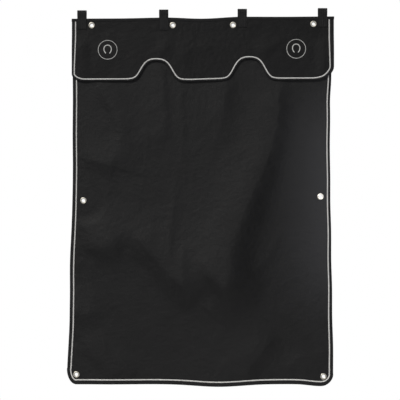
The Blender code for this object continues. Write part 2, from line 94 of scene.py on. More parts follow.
# Main panel.  A flare is its width and the drops between which it comes in, a wave is its height and
# the length over which it turns by a radian, and a low spot is its depth, middle and width
HALF_WIDTH = 0.684
DROP = 1.9375
LEFT_WIDENING = 0.0025
LEFT_FLARES = ((0.0150, 0.88, 1.38), (0.0150, 1.56, 1.90))
LEFT_WAVE = (0.0006, 0.055)
RIGHT_NARROWING = 0.0105
UPPER_RIGHT_FLARE = (0.007, 0.32, 0.46)
RIGHT_FLARE = (0.0165, 0.80, 1.86)
RIGHT_WAVE = (0.0010, 0.048)
HEM_LOW_SPOTS = ((0.012, 0.076, 0.16), (0.010, 0.62, 0.075))
LEFT_CORNER = (0.048, 0.080)
RIGHT_CORNER = (0.060, 0.055)
# Columns and rows; how far the panel goes up between the heading's layers, how much closer its columns
# stand by the sides, and the shares of its rows over which they turn with the round corners
PANEL_GRID = (190, 232)
PANEL_TUCK = 0.012
COLUMNS_CLOSER = 0.35
CORNER_ROWS = (0.88, 1.0)

# Where the piping lies, inward from an edge; the side trims turn to the lower one over TRIM_CHANGE
PANEL_TRIM_INSET = 0.0185
PANEL_TRIM_INSET_LOW = 0.0225
RIGHT_TRIM_INSET = 0.0160
RIGHT_TRIM_WIDENS = (0.85, 1.85)
VALANCE_LEFT_INSETS = (0.0180, 0.0125)
VALANCE_RIGHT_INSETS = (0.0225, 0.0185)
VALANCE_INSETS_CHANGE = (0.10, 0.29)
VALANCE_LOW_INSET = 0.0100
TRIM_CHANGE = 0.06

# Valance
VALANCE_LEFT = -0.6906
VALANCE_RIGHT = 0.6925
VALANCE_DROP = 0.3315
VALANCE_TILT = 0.0050
VALANCE_LOW_SPOT = (0.0045, -0.09, 0.12)
VALANCE_LEFT_CORNER = (0.068, 0.038)
VALANCE_RIGHT_CORNER = (0.115, 0.072)
VALANCE_GRID = (230, 64)
# Each arch: its height and the middles of its two flanks; then how softly both flanks turn
LEFT_ARCH = (0.1085, -0.3205, -0.1678)
RIGHT_ARCH = (0.1160, 0.1709, 0.3229)
ARCH_SOFTNESS = 0.0155
# How it hangs: its depth at the top, how far it leans out below the eyelets, and how far it climbs over
# the panel's side trim, between which places, and what share of that it loses towards its foot
VALANCE_Y = 0.0039
VALANCE_FLAT_TO = 0.072
VALANCE_LEAN = 0.0080
VALANCE_OVER_TRIM = 0.0052
OVER_TRIM_ACROSS = (0.585, 0.645)
OVER_TRIM_DOWN = (0.080, 0.160)
OVER_TRIM_LOSS = 0.7
OVER_TRIM_LOSS_FROM = 0.18

# Stations along the outlines: in a round corner, along a lower edge and down a side
CORNER_STATIONS = 24
FOOT_STATIONS = 400
PANEL_SIDE_STATIONS = 300
VALANCE_SIDE_STATIONS = 60

# The panel's swell and hem wave: height, the drops between which they come in, radians to a metre
SWELL = 0.006
SWELL_DOWN = (0.30, 1.10)
SWELL_TURN = 2.2
HEM_WAVE = 0.005
HEM_WAVE_DOWN = (1.45, 1.90)
HEM_WAVE_TURN = 9.0
HEM_WAVE_START = 0.6

# Main folds of the panel, as its solid has them.  Each has the points (x, z) of its crest, its height
# at the first and the last of them, its reach at both on one side (left of a crest that runs down,
# below one that runs right) and on the other side, and the shares of it over which its ends fade.
# One number stands for the same at both ends
PANEL_FOLDS = (
    (((0.425, -0.16), (0.405, -0.38), (0.390, -0.58), (0.325, -0.80), (0.255, -0.96), (0.190, -1.13),
     (0.148, -1.26), (0.138, -1.36), (0.105, -1.445), (0.030, -1.475)), (0.0055, 0.0540),
     (0.100, 0.260), (0.036, 0.142), 0.16),
    (((-0.62, -0.24), (-0.535, -0.40), (-0.45, -0.55), (-0.435, -0.82)), 0.008, 0.034,
     (0.110, 0.090), (0.20, 0.30)),
    (((-0.385, -1.07), (-0.315, -1.20), (-0.215, -1.32), (-0.105, -1.43), (-0.03, -1.50)),
     (0.015, 0.026), (0.058, 0.080), (0.180, 0.190), (0.25, 0.16)),
    (((0.20, -1.49), (0.26, -1.43), (0.335, -1.385)), (0.007, 0.006), (0.050, 0.042), 0.130, 0.35),
    (((-0.215, -0.20), (-0.20, -0.48), (-0.19, -0.66)), 0.004, 0.080, 0.024, (0.20, 0.40)),
    (((0.135, -0.20), (0.125, -0.42), (0.075, -0.70)), (0.007, 0.008), 0.100, 0.050, (0.20, 0.40)),
    (((-0.64, -0.745), (-0.55, -0.768), (-0.46, -0.795)), (0.003, 0.017), (0.024, 0.068),
     (0.140, 0.130), 0.20),
    (((-0.60, -1.265), (-0.508, -1.200), (-0.42, -1.240)), 0.024, 0.110, 0.150, 0.35),
    (((-0.70, -1.56), (-0.60, -1.565), (-0.52, -1.545)), 0.014, 0.064, 0.140, (0.15, 0.50)),
    (((0.40, -1.66), (0.315, -1.77), (0.25, -1.86), (0.23, -1.91)), 0.013, 0.120, (0.040, 0.045),
     (0.30, 0.15)),
    (((-0.66, -1.70), (-0.55, -1.80), (-0.45, -1.91)), (0.005, 0.009), 0.052, 0.120, (0.30, 0.15)),
)
# Drops between which the folds come in, lengths over which their pieces and sides blend, and the
# distances from an eyelet between which the flat cloth round it turns to folds
FOLD_FADE = (0.10, 0.42)
FOLD_BLEND = 0.030
SIDE_BLEND = 0.010
EYELET_FLAT = (0.075, 0.140)

# Finer creases of the panel, in the same terms, with a sharper crest
PANEL_CREASES = (
    (((-0.61, -0.925), (-0.55, -0.932), (-0.49, -0.925)), 0.005, 0.018, 0.040, 0.40),
    (((-0.68, -1.010), (-0.63, -1.015), (-0.58, -1.035)), (0.005, 0.004), 0.016, 0.040, (0.10, 0.50)),
    (((-0.68, -1.07), (-0.65, -1.09), (-0.61, -1.14)), 0.004, 0.014, 0.030, (0.10, 0.50)),
    (((-0.13, -0.86), (-0.15, -1.00), (-0.165, -1.12), (-0.175, -1.30)), (0.003, 0.005),
     (0.030, 0.040), (0.012, 0.018), (0.30, 0.20)),
    (((-0.10, -1.20), (-0.105, -1.34), (-0.095, -1.46)), (0.004, 0.012), (0.050, 0.060),
     (0.024, 0.040), 0.30),
    (((-0.525, -1.65), (-0.52, -1.72), (-0.50, -1.79)), 0.004, 0.024, 0.012, 0.30),
    (((-0.46, -1.76), (-0.42, -1.83), (-0.37, -1.90)), (0.004, 0.006), 0.016, 0.030, (0.30, 0.15)),
    (((0.05, -1.66), (0.12, -1.76), (0.20, -1.86)), (0.003, 0.004), 0.018, 0.030, 0.30),
    (((0.08, -1.91), (0.115, -1.82), (0.14, -1.91)), 0.004, 0.026, 0.012, 0.10),
    (((0.45, -1.88), (0.50, -1.81), (0.58, -1.775)), (0.008, 0.006), 0.026, 0.034, (0.20, 0.40)),
    (((0.53, -1.90), (0.60, -1.83), (0.67, -1.81)), (0.008, 0.006), 0.024, 0.034, 0.20),
    (((-0.105, -0.22), (-0.105, -0.56), (-0.095, -0.84)), (0.003, 0.002), 0.030, 0.012, (0.20, 0.40)),
    (((0.43, -1.10), (0.37, -1.24), (0.26, -1.36)), (0.003, 0.004), 0.040, 0.020, 0.30),
    (((-0.36, -0.60), (-0.28, -0.63), (-0.18, -0.70)), 0.005, 0.060, 0.080, 0.40),
)
CREASE_FADE = (0.30, 0.38)

# Folds of the valance, as its solid has them, then its finer creases.  Both come in between two drops
# and go out between two heights above its foot
VALANCE_FOLDS = (
    (((-0.19, -0.09), (-0.20, -0.15), (-0.205, -0.20)), (0.003, 0.004), 0.045, 0.045, 0.25),
    (((0.42, -0.10), (0.36, -0.15), (0.31, -0.20)), (0.003, 0.004), 0.060, 0.060, 0.25),
    (((-0.14, -0.22), (-0.06, -0.17), (0.06, -0.15)), (0.003, 0.002), 0.070, 0.070, 0.25),
    (((-0.62, -0.30), (-0.55, -0.22), (-0.46, -0.15)), 0.002, 0.080, 0.080, 0.25),
)
VALANCE_CREASES = (
    (((-0.19, -0.07), (-0.20, -0.14), (-0.195, -0.20)), (0.0016, 0.0024), 0.024, 0.012, 0.25),
    (((0.28, -0.21), (0.34, -0.16), (0.42, -0.115)), (0.0018, 0.0012), 0.014, 0.022, 0.25),
    (((0.32, -0.235), (0.38, -0.250), (0.42, -0.255)), (0.0015, 0.0010), 0.014, 0.018, 0.25),
    (((-0.14, -0.215), (-0.03, -0.165), (0.13, -0.155)), (0.0014, 0.0010), 0.016, 0.024, 0.25),
    (((-0.12, -0.055), (-0.02, -0.045), (0.10, -0.060)), 0.0010, 0.012, 0.016, 0.25),
    (((-0.50, -0.07), (-0.49, -0.11), (-0.47, -0.15)), (0.0012, 0.0008), 0.022, 0.016, 0.25),
    (((0.175, -0.07), (0.18, -0.11), (0.20, -0.15)), (0.0012, 0.0008), 0.022, 0.016, 0.25),
    (((0.60, -0.31), (0.63, -0.27), (0.67, -0.24)), (0.0014, 0.0010), 0.012, 0.018, 0.25),
)
VALANCE_FOLD_FADE = (0.08, 0.16)
VALANCE_FOLD_FOOT = (0.015, 0.060)
VALANCE_CREASE_FADE = (0.045, 0.075)
VALANCE_CREASE_FOOT = (0.012, 0.030)

# Binding tape folded round an edge: shares of its width, the rise at each, and its turns in degrees
TAPE_SHARES = (0.0, 0.06, 0.14, 0.22, 0.32, 0.45, 0.60, 0.75, 0.88)
TAPE_RISES = (-0.00005, 0.0, -0.00022, 0.0, 0.00018, 0.00030, 0.00030, 0.00018, 0.0)
TAPE_TURNS = (22, 48, 74, 90, 106, 132, 158)
# It starts under the piping; the piping stands on the cloth, and stitches lie by it, sunk in the tape
TAPE_START = PIPING_RADIUS * 0.6
PIPING_STANDS = PIPING_RADIUS * 0.9
STITCH_FROM_PIPING = 0.0022
STITCH_SUNK = 0.0001

# Top tape: its height, its seam above its lower edge, its rounding, the dent the seam pulls, and waves
# of its lower edge, each a height, a length for a radian and a start
TOP_TAPE_HEIGHT = 0.016
TOP_SEAM = 0.0026
TOP_ROUND = 0.0012
TOP_DENT = 0.0002
TOP_WAVES = ((0.0004, 0.021, 0.0), (0.0003, 0.0083, 1.0))

# Tabs: the loop, the back leg, the neck's places out from a leg and up from the top edge, the ribs of
# the webbing, and the sewn box's distances from the tab's ends and from the top edge
TAB_LOOP_RADIUS = 0.0095
TAB_LEG = 0.055
TAB_NECK = ((0.0, -0.004), (0.0, 0.002), (0.0012, 0.010))
TAB_NECK_TOP = 0.020
RIB_WIDTH = 0.0062
RIB_HEIGHT = 0.00008
BOX_INSET = 0.005
BOX_BELOW_EDGE = 0.004

# Eyelets: hole, wall, dome of the flange, its rim, the fillet to the barrel, and the rolled end
EYELET_HOLE = 0.0090
EYELET_WALL = 0.0008
EYELET_DOME = 0.0024
EYELET_RIM = 0.0006
EYELET_FILLET = 0.0010
EYELET_ROLL = (0.0018, 0.0008)
EYELET_STEPS = 64
CLOTH_HOLE = EYELET_HOLE + EYELET_WALL + 4 * GAP
# Rings of cloth round a hole: drawn into circles up to the first count, moved along up to the second
HOLE_RINGS = 5
MOVED_RINGS = 8

# Motifs: centres, ring and horseshoe, the satin lines that draw them, and how far they stand up
MOTIF_CENTRES = ((-0.503, -0.1685), (0.495, -0.163))
MOTIF_RING = 0.050
MOTIF_RING_LINE = 0.0028
SHOE_HALF = (0.0195, 0.0235)
SHOE_LINE = 0.0048
SHOE_TURNS = (-58.0, 238.0)
SHOE_BELLY = 0.10
SHOE_LIFT = 0.0015
SATIN_PITCH = 0.0006
SATIN_THREAD = 0.0004
SATIN_SLANT = 0.25
SATIN_LIFT = 0.0005

# Floor, and the camera's lens and what it takes in
FLOOR_RINGS = (0.02, 1.1, 2.2)
FLOOR_SIDES = 96
FLOOR_BELOW = 0.52
LENS = 100.0
SENSOR = 36.0
VIEW_WIDTH = 2.12
VIEW_SHIFT = (-0.0030, -0.0147)


# ---------------------------------------------------------------- small helpers
def ramp(value, start, end):
    """Runs evenly from 0 at start to 1 at end."""
    return np.clip((value - start) / (end - start), 0.0, 1.0)


def ease(value, start, end):
    """As ramp, with soft ends: 3 t squared less 2 t cubed."""
    t = ramp(value, start, end)
    return t * t * (3.0 - 2.0 * t)


def lerp(a, b, t):
    """Runs from a, where t is 0, to b, where it is 1."""
    return a + (b - a) * t


def bell(value, centre, width):
    """e to the minus square of the distance from the centre in widths."""
    return np.exp(-((value - centre) / width) ** 2)


def corner_lift(inset, run, rise):
    """Height of a quarter ellipse above its lowest point, at a distance inset from its side."""
    return rise * (1.0 - np.sqrt(1.0 - np.clip(1.0 - inset / run, 0.0, 1.0) ** 2))


def unit(vectors):
    """The same vectors, each divided by its length."""
    return vectors / np.linalg.norm(vectors, axis=-1, keepdims=True)


# ---------------------------------------------------------------- outlines
def top_edge(x):
    """Height of the top edge: straight from tab to tab, less a squared half sine between them."""
    height = TOP_TILT * x + np.interp(x, TAB_CENTRES, RISES_AT_TABS)
    for sag, left, right in zip(SAGS_BETWEEN_TABS, TAB_CENTRES, TAB_CENTRES[1:]):
        height = height - sag * np.sin(np.pi * ramp(x, left, right)) ** 2
    return height


def heading_foot(x):
    """The heading's lower edge: straight and tilted like the top edge."""
    return TOP_TILT * x - HEADING_HEIGHT


def left_edge(z):
    """The panel's left edge: it widens twice in its lower half and waves a little."""
    wider = sum(width * ease(-z, start, end) for width, start, end in LEFT_FLARES)
    return -HALF_WIDTH - LEFT_WIDENING - wider - LEFT_WAVE[0] * np.sin(z / LEFT_WAVE[1])


def right_edge(z):
    """The right edge widens too, and a little more behind the valance."""
    behind = UPPER_RIGHT_FLARE[0] * (1.0 - ease(-z, *UPPER_RIGHT_FLARE[1:]))
    wider = behind + RIGHT_FLARE[0] * ramp(-z, *RIGHT_FLARE[1:])
    return HALF_WIDTH - RIGHT_NARROWING + wider + RIGHT_WAVE[0] * np.sin(z / RIGHT_WAVE[1])


def right_inset(z):
    """Visible width of the right edge's trim: the edge turns back a little in its upper half."""
    return lerp(RIGHT_TRIM_INSET, PANEL_TRIM_INSET, ease(-z, *RIGHT_TRIM_WIDENS))


def panel_foot(x):
    """Lower edge of the panel before its corners are rounded: level, with two low bells."""
    return -DROP - sum(depth * bell(x, middle, width) for depth, middle, width in HEM_LOW_SPOTS)


def panel_corner(x):
    """How far the panel's foot is lifted by its round corners."""
    left = corner_lift(x - left_edge(-DROP), *LEFT_CORNER)
    right = corner_lift(right_edge(-DROP) - x, *RIGHT_CORNER)
    return np.maximum(left, right)


def arch(x, left, right):
    """Near 1 between left and right and near 0 outside: two soft steps, each 1 over 1 plus e to the
    distance in ARCH_SOFTNESS."""
    up = 1.0 / (1.0 + np.exp((left - x) / ARCH_SOFTNESS))
    return up / (1.0 + np.exp((x - right) / ARCH_SOFTNESS))


def valance_foot(x):
    """Lower edge of the valance: two arches and two round corners."""
    level = -VALANCE_DROP + VALANCE_TILT * x - VALANCE_LOW_SPOT[0] * bell(x, *VALANCE_LOW_SPOT[1:])
    arches = LEFT_ARCH[0] * arch(x, *LEFT_ARCH[1:]) + RIGHT_ARCH[0] * arch(x, *RIGHT_ARCH[1:])
    left = corner_lift(x - VALANCE_LEFT, *VALANCE_LEFT_CORNER)
    right = corner_lift(VALANCE_RIGHT - x, *VALANCE_RIGHT_CORNER)
    return level + arches + np.maximum(left, right)


def bottom_stations(left, right, left_run, right_run):
    """Places along a lower edge: evenly by angle round each corner, evenly by width between."""
    turn = np.linspace(0.0, np.pi / 2, CORNER_STATIONS)
    first = left + left_run * (1.0 - np.cos(turn))
    last = right - right_run * (1.0 - np.cos(turn[::-1]))
    middle = np.linspace(first[-1], last[0], FOOT_STATIONS)[1:-1]
    return np.concatenate([first, middle, last])


def even_line(x, z, step):
    """The same line with its points one step apart: length is summed along it, places read off."""
    length = np.concatenate([[0.0], np.cumsum(np.hypot(np.diff(x), np.diff(z)))])
    count = int(round(length[-1] / step))
    wanted = np.linspace(0.0, length[-1], count + 1)
    return np.interp(wanted, length, x), np.interp(wanted, length, z)


def panel_outline(step):
    """Down the left side, round the foot and up the right side."""
    foot_x = bottom_stations(left_edge(-DROP), right_edge(-DROP), LEFT_CORNER[0], RIGHT_CORNER[0])
    foot_z = panel_foot(foot_x) + panel_corner(foot_x)
    top = heading_foot(0.0) - GAP
    left_z = np.linspace(top, foot_z[0], PANEL_SIDE_STATIONS)[:-1]
    right_z = np.linspace(foot_z[-1], top, PANEL_SIDE_STATIONS)[1:]
    x = np.concatenate([left_edge(left_z), foot_x, right_edge(right_z)])
    z = np.concatenate([left_z, foot_z, right_z])
    return even_line(x, z, step)


def valance_outline(step):
    """Down the left side, along the arched foot and up the right side."""
    foot_x = bottom_stations(VALANCE_LEFT, VALANCE_RIGHT, VALANCE_LEFT_CORNER[0],
                             VALANCE_RIGHT_CORNER[0])
    foot_z = valance_foot(foot_x)
    below_tape = TOP_TAPE_HEIGHT + TAPE / 2 + GAP
    left_top, right_top = top_edge(np.array([VALANCE_LEFT, VALANCE_RIGHT])) - below_tape
    left_z = np.linspace(left_top, foot_z[0], VALANCE_SIDE_STATIONS)[:-1]
    right_z = np.linspace(foot_z[-1], right_top, VALANCE_SIDE_STATIONS)[1:]
    x = np.concatenate([np.full(len(left_z), VALANCE_LEFT), foot_x,
                        np.full(len(right_z), VALANCE_RIGHT)])
    z = np.concatenate([left_z, foot_z, right_z])
    return even_line(x, z, step)


# ---------------------------------------------------------------- folds
def smooth_line(points, count=18):
    """A Catmull-Rom curve through the given points, count pieces long."""
    ends = np.array([points[0], *points, points[-1]])
    place = np.linspace(0.0, len(points) - 1.0, count + 1)
    i = np.minimum(place.astype(int), len(points) - 2)
    t = (place - i)[:, None]
    a, b, c, d = (ends[i + n] for n in range(4))
    return 0.5 * (2 * b + (c - a) * t + (2 * a - 5 * b + 4 * c - d) * t ** 2
                  + (3 * b - a - 3 * c + d) * t ** 3)


def soft_profile(distance, reach):
    """A bell as wide as the fold's reach."""
    return bell(distance, 0.0, reach)


def crease_profile(distance, reach):
    """Falls off exponentially, with a crest rounded over a third of its reach."""
    crown = reach / 3
    return np.exp(-(np.sqrt(distance ** 2 + crown ** 2) - crown) / reach)


def fold_height(x, z, folds, profile):
    """Sum of the folds at (x, z): each has its profile across its crest, unlike on its two sides.

    A crest is short straight pieces.  Each gives a height of its own, and their mean is taken with
    weights of e to the minus distance in FOLD_BLEND, so that no edge shows where two of them meet."""
    total = np.zeros(np.shape(x))
    for points, *pairs in folds:
        heights, one_side, other_side, fades = (np.broadcast_to(pair, 2) for pair in pairs)
        line = smooth_line(points)
        start = line[:-1]
        step = np.diff(line, axis=0)
        from_x = x[..., None] - start[:, 0]
        from_z = z[..., None] - start[:, 1]
        t = np.clip((from_x * step[:, 0] + from_z * step[:, 1]) / (step ** 2).sum(1), 0.0, 1.0)
        away_x = from_x - step[:, 0] * t
        away_z = from_z - step[:, 1] * t
        distance = np.hypot(away_x, away_z)
        along = (np.arange(len(step)) + t) / len(step)
        across = (step[:, 0] * away_z - step[:, 1] * away_x) / np.hypot(step[:, 0], step[:, 1])
        other = ease(across, -SIDE_BLEND, SIDE_BLEND)
        reach = lerp(lerp(*one_side, along), lerp(*other_side, along), other)
        ends = ease(along, 0.0, fades[0]) * ease(1.0 - along, 0.0, fades[1])
        height = lerp(*heights, along) * ends * profile(distance, reach)
        weight = np.exp((distance.min(-1, keepdims=True) - distance) / FOLD_BLEND)
        total += (height * weight).sum(-1) / weight.sum(-1)
    return total


def main_panel_depth(x, z):
    """Swell, hem wave and main folds of the panel, away from its eyelets, as its solid has them."""
    swell = SWELL * ease(-z, *SWELL_DOWN) * np.cos(SWELL_TURN * x)
    hem_wave = HEM_WAVE * ease(-z, *HEM_WAVE_DOWN) * np.sin(HEM_WAVE_TURN * x + HEM_WAVE_START)
    return swell + hem_wave + fold_height(x, z, PANEL_FOLDS, soft_profile) * ease(-z, *FOLD_FADE)


def centre_of(node):
    """Middle of a node's box."""
    low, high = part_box(node)
    return (low + high) / 2


def cloth_level(node):
    """Depth of the panel's cloth at an eyelet, behind its dome."""
    return -(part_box(node)[0].y + EYELET_DOME + GAP + PANEL_CLOTH / 2)


TOP_EYELETS = [centre_of(f"eyelet_{n}") for n in (1, 2, 3, 4)]
PANEL_EYELETS = [centre_of(f"eyelet_{n}") for n in (5, 6, 7, 8)]
EYELET_LEVELS = [cloth_level(f"eyelet_{n}") for n in (5, 6, 7, 8)]


def panel_depth(x, z):
    """Forward depth of the panel: level across its bound edge, flat round each eyelet."""
    x, z = np.broadcast_arrays(np.asarray(x, float), np.asarray(z, float))
    right = right_edge(z)
    trim = right_inset(z)
    inner_x = np.clip(x, left_edge(z) + PANEL_TRIM_INSET, right - trim)
    inner_z = np.maximum(z, panel_foot(x) + PANEL_TRIM_INSET_LOW)
    creases = fold_height(inner_x, inner_z, PANEL_CREASES, crease_profile)
    depth = main_panel_depth(inner_x, inner_z) + creases * ease(-inner_z, *CREASE_FADE)
    for eyelet, level in zip(PANEL_EYELETS, EYELET_LEVELS):
        depth = lerp(level, depth, ease(np.hypot(x - eyelet.x, z - eyelet.z), *EYELET_FLAT))
    turned_back = np.sqrt(np.maximum(PANEL_TRIM_INSET ** 2 - trim ** 2, 0.0))
    return depth - turned_back * ramp(x, right - trim, right)


def valance_depth(x, z):
    """Forward depth of the valance: flat at the eyelets, then leaning out and over the panel's trim."""
    x, z = np.broadcast_arrays(np.asarray(x, float), np.asarray(z, float))
    above_foot = z - valance_foot(x)
    lean = VALANCE_LEAN * ramp(-z, VALANCE_FLAT_TO, VALANCE_DROP)
    over_trim = ease(abs(x), *OVER_TRIM_ACROSS) * ease(-z, *OVER_TRIM_DOWN)
    over_trim = over_trim * (1.0 - OVER_TRIM_LOSS * ramp(-z, OVER_TRIM_LOSS_FROM, VALANCE_DROP))
    folds = fold_height(x, z, VALANCE_FOLDS, soft_profile)
    folds = folds * ease(-z, *VALANCE_FOLD_FADE) * ease(above_foot, *VALANCE_FOLD_FOOT)
    creases = fold_height(x, z, VALANCE_CREASES, crease_profile)
    creases = creases * ease(-z, *VALANCE_CREASE_FADE) * ease(above_foot, *VALANCE_CREASE_FOOT)
    return VALANCE_Y + lean + VALANCE_OVER_TRIM * over_trim + folds + creases


# ---------------------------------------------------------------- making meshes
def grid_faces(points, uv, round_across=False, round_along=False, keep=None, caps=False):
    """One quad between each four neighbours of points[row, column], closed round where asked.

    uv has a row or column more than points where the surface closes.  keep marks the quads that
    stay, and caps closes the first and last rows with a face each."""
    rows, columns = points.shape[:2]
    index = np.arange(rows * columns).reshape(rows, columns)
    if round_across:
        index = np.hstack([index, index[:, :1]])
    if round_along:
        index = np.vstack([index, index[:1]])

    def corners(grid):
        """The four neighbours of each cell of a grid, going round it."""
        return np.stack([grid[:-1, :-1], grid[:-1, 1:], grid[1:, 1:], grid[1:, :-1]], axis=2)

    quads = corners(index)
    quad_uv = corners(uv)
    if keep is None:
        keep = np.ones(quads.shape[:2], bool)
    faces = quads[keep].tolist()
    face_uv = quad_uv[keep].reshape(-1, 2).tolist()
    if caps:
        for row, way in ((0, -1), (rows - 1, 1)):
            faces.append(index[row, :columns][::way].tolist())
            face_uv += uv[row, :columns][::way].tolist()
    return points.reshape(-1, 3), faces, face_uv


def grid_uv(across, along):
    """UV places of a grid, in metres, from those across and along it."""
    return np.stack(np.meshgrid(across, along), -1)


def add_object(name, data):
    """An object that shows this mesh, light or camera."""
    made = bpy.data.objects.new(name, data)
    bpy.context.scene.collection.objects.link(made)
    return made


def add_piece(name, parts, finish, solid=True):
    """One object of all the parts, smooth, with its UV map in metres of cloth."""
    verts = np.concatenate([part[0] for part in parts])
    faces = []
    corners_uv = []
    first = 0
    for points, part_faces, part_uv in parts:
        faces += [[first + corner for corner in face] for face in part_faces]
        corners_uv += part_uv
        first += len(points)
    mesh = bpy.data.meshes.new(name)
    mesh.from_pydata(verts.tolist(), [], faces)
    layer = mesh.uv_layers.new(name="cloth")
    layer.data.foreach_set("uv", np.array(corners_uv, np.float32).ravel())
    work = bmesh.new()
    work.from_mesh(mesh)
    loose = [vert for vert in work.verts if not vert.link_faces]
    bmesh.ops.delete(work, geom=loose, context="VERTS")
    if solid:
        bmesh.ops.recalc_face_normals(work, faces=work.faces)
    work.to_mesh(mesh)
    work.free()
    mesh.shade_smooth()
    mesh.set_sharp_from_angle(angle=math.radians(50))
    mesh.materials.append(finish)
    piece = add_object(name, mesh)
    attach(piece, "root")
    return piece


def thicken(piece, thickness):
    """Gives an open sheet its thickness, half to each side, with closed edges."""
    solid = piece.modifiers.new("thickness", "SOLIDIFY")
    solid.thickness = thickness
    solid.offset = 0.0
    return piece


def carry(section, centres, across, up):
    """A section of (across, up) places carried along a path of centres with those two axes."""
    return (centres[:, None] + section[None, :, :1] * across[:, None]
            + section[None, :, 1:] * up[:, None])


def lengths_along(points):
    """Length of a line of points up to each of them."""
    return np.concatenate([[0.0], np.cumsum(np.linalg.norm(np.diff(points, axis=0), axis=1))])


def tube(centres, radius, sides=12):
    """A round section carried along a path, its axes turned with the path, and closed at both ends."""
    run = unit(np.gradient(centres, axis=0))
    back = np.tile([0.0, 1.0, 0.0], (len(centres), 1))
    across = unit(np.cross(run, back))
    up = np.cross(across, run)
    angle = np.arange(sides) * 2 * np.pi / sides
    section = radius * np.stack([np.cos(angle), np.sin(angle)], 1)
    points = carry(section, centres, across, up)
    round_uv = np.linspace(0.0, 2 * np.pi * radius, sides + 1)
    uv = grid_uv(round_uv, lengths_along(centres))
    return grid_faces(points, uv, round_across=True, caps=True)


def stitches(starts, ends, normals, radius=THREAD_RADIUS, sides=6, arched=1.7, sunk=0.9):
    """Threads from each start to its end, arched by a half sine over the cloth, ends sunk in it; both
    are given in thread radii."""
    run = unit(ends - starts)
    side = np.cross(run, normals)
    t = np.array([0.0, 0.18, 0.5, 0.82, 1.0])
    arch_height = radius * (arched * np.sin(np.pi * t) - sunk)
    centres = (starts[:, None] + (ends - starts)[:, None] * t[None, :, None]
               + normals[:, None] * arch_height[None, :, None])
    angle = np.arange(sides) * 2 * np.pi / sides
    ring = np.cos(angle)[:, None] * side[:, None] + np.sin(angle)[:, None] * normals[:, None]
    points = centres[:, :, None] + radius * ring[:, None]
    uv = grid_uv(np.linspace(0.0, 2 * np.pi * radius, sides + 1), t * STITCH)
    verts, faces, face_uv = grid_faces(points[0], uv, round_across=True, caps=True)
    count = len(verts)
    firsts = range(0, count * len(points), count)
    all_faces = [[first + corner for corner in face] for first in firsts for face in faces]
    return points.reshape(-1, 3), all_faces, face_uv * len(points)


def stitch_row(line, normals, pitch=STITCH + STITCH_GAP, stitch=STITCH):
    """Stitches one after another along a line of points, each laid on its normal."""
    length = lengths_along(line)
    count = int(length[-1] / pitch)
    begin = (np.arange(count) + 0.5) * length[-1] / count - stitch / 2

    def at(place, values):
        """Values of the line at places along its length."""
        return np.stack([np.interp(place, length, values[:, k]) for k in range(3)], 1)

    return stitches(at(begin, line), at(begin + stitch, line), unit(at(begin + stitch / 2, normals)))


def turned(section, centre):
    """A closed section of (radius, y) turned round an axis along Y, closed both ways."""
    angle = np.arange(EYELET_STEPS) * 2 * np.pi / EYELET_STEPS
    radius = section[None, :, 0]
    points = np.stack([centre.x + radius * np.cos(angle)[:, None],
                       np.broadcast_to(section[:, 1], (EYELET_STEPS, len(section))),
                       centre.z + radius * np.sin(angle)[:, None]], -1)
    closed = np.vstack([section, section[:1]])
    uv = grid_uv(lengths_along(closed), np.append(angle, 2 * np.pi) * EYELET_HOLE)
    return grid_faces(points, uv, round_across=True, round_along=True)


# ---------------------------------------------------------------- materials
def linear(code):
    """An sRGB hex colour as linear values, with the standard's curve."""
    shares = np.array([int(code[k:k + 2], 16) for k in (1, 3, 5)]) / 255
    return (*np.where(shares < 0.04045, shares / 12.92, ((shares + 0.055) / 1.055) ** 2.4), 1.0)


def node(tree, kind, inputs=(), **settings):
    """Adds a node with its settings; an input is a value, or the output that is linked to it."""
    made = tree.nodes.new(kind)
    for key, value in settings.items():
        setattr(made, key, value)
    for key, value in dict(inputs).items():
        if isinstance(value, bpy.types.NodeSocket):
            tree.links.new(value, made.inputs[key])
        else:
            made.inputs[key].default_value = value
    return made


def new_material(name, **values):
    """A material whose shader has these values on its own sockets; underscores stand for spaces."""
    made = bpy.data.materials.new(name)
    made.use_nodes = True
    shader = made.node_tree.nodes["Principled BSDF"]
    for key, value in values.items():
        shader.inputs[key.replace("_", " ")].default_value = value
    return made, made.node_tree, shader


def cloth_places(tree):
    """The two places on the cloth, in metres, read from its own UV map."""
    places = node(tree, "ShaderNodeUVMap", uv_map="cloth").outputs["UV"]
    split = node(tree, "ShaderNodeSeparateXYZ", {0: places})
    return places, split.outputs["X"], split.outputs["Y"]


def uneven_colour(tree, shader, places, low, high, blot, detail=2.0):
    """Cloudy colour: noise with blots of one size runs between two sRGB colours over its middle."""
    cloud = node(tree, "ShaderNodeTexNoise", {"Vector": places, "Scale": 1.0 / blot, "Detail": detail})
    tones = node(tree, "ShaderNodeValToRGB", {"Fac": cloud.outputs["Fac"]})
    for stop, colour, position in ((0, low, 0.35), (1, high, 0.65)):
        tones.color_ramp.elements[stop].color = linear(colour)
        tones.color_ramp.elements[stop].position = position
    tree.links.new(tones.outputs["Color"], shader.inputs["Base Color"])
    return cloud.outputs["Fac"]


def ridges(tree, place, pitch):
    """A sine of the place along the cloth, one wave each pitch."""
    turn = node(tree, "ShaderNodeMath", {0: place, 1: 2 * math.pi / pitch}, operation="MULTIPLY")
    return node(tree, "ShaderNodeMath", {0: turn.outputs[0]}, operation="SINE").outputs[0]


def slant_ridges(tree, across, along, pitch):
    """The same sine, of the sum of both places."""
    slant = node(tree, "ShaderNodeMath", {0: across, 1: along}, operation="ADD")
    return ridges(tree, slant.outputs[0], pitch)


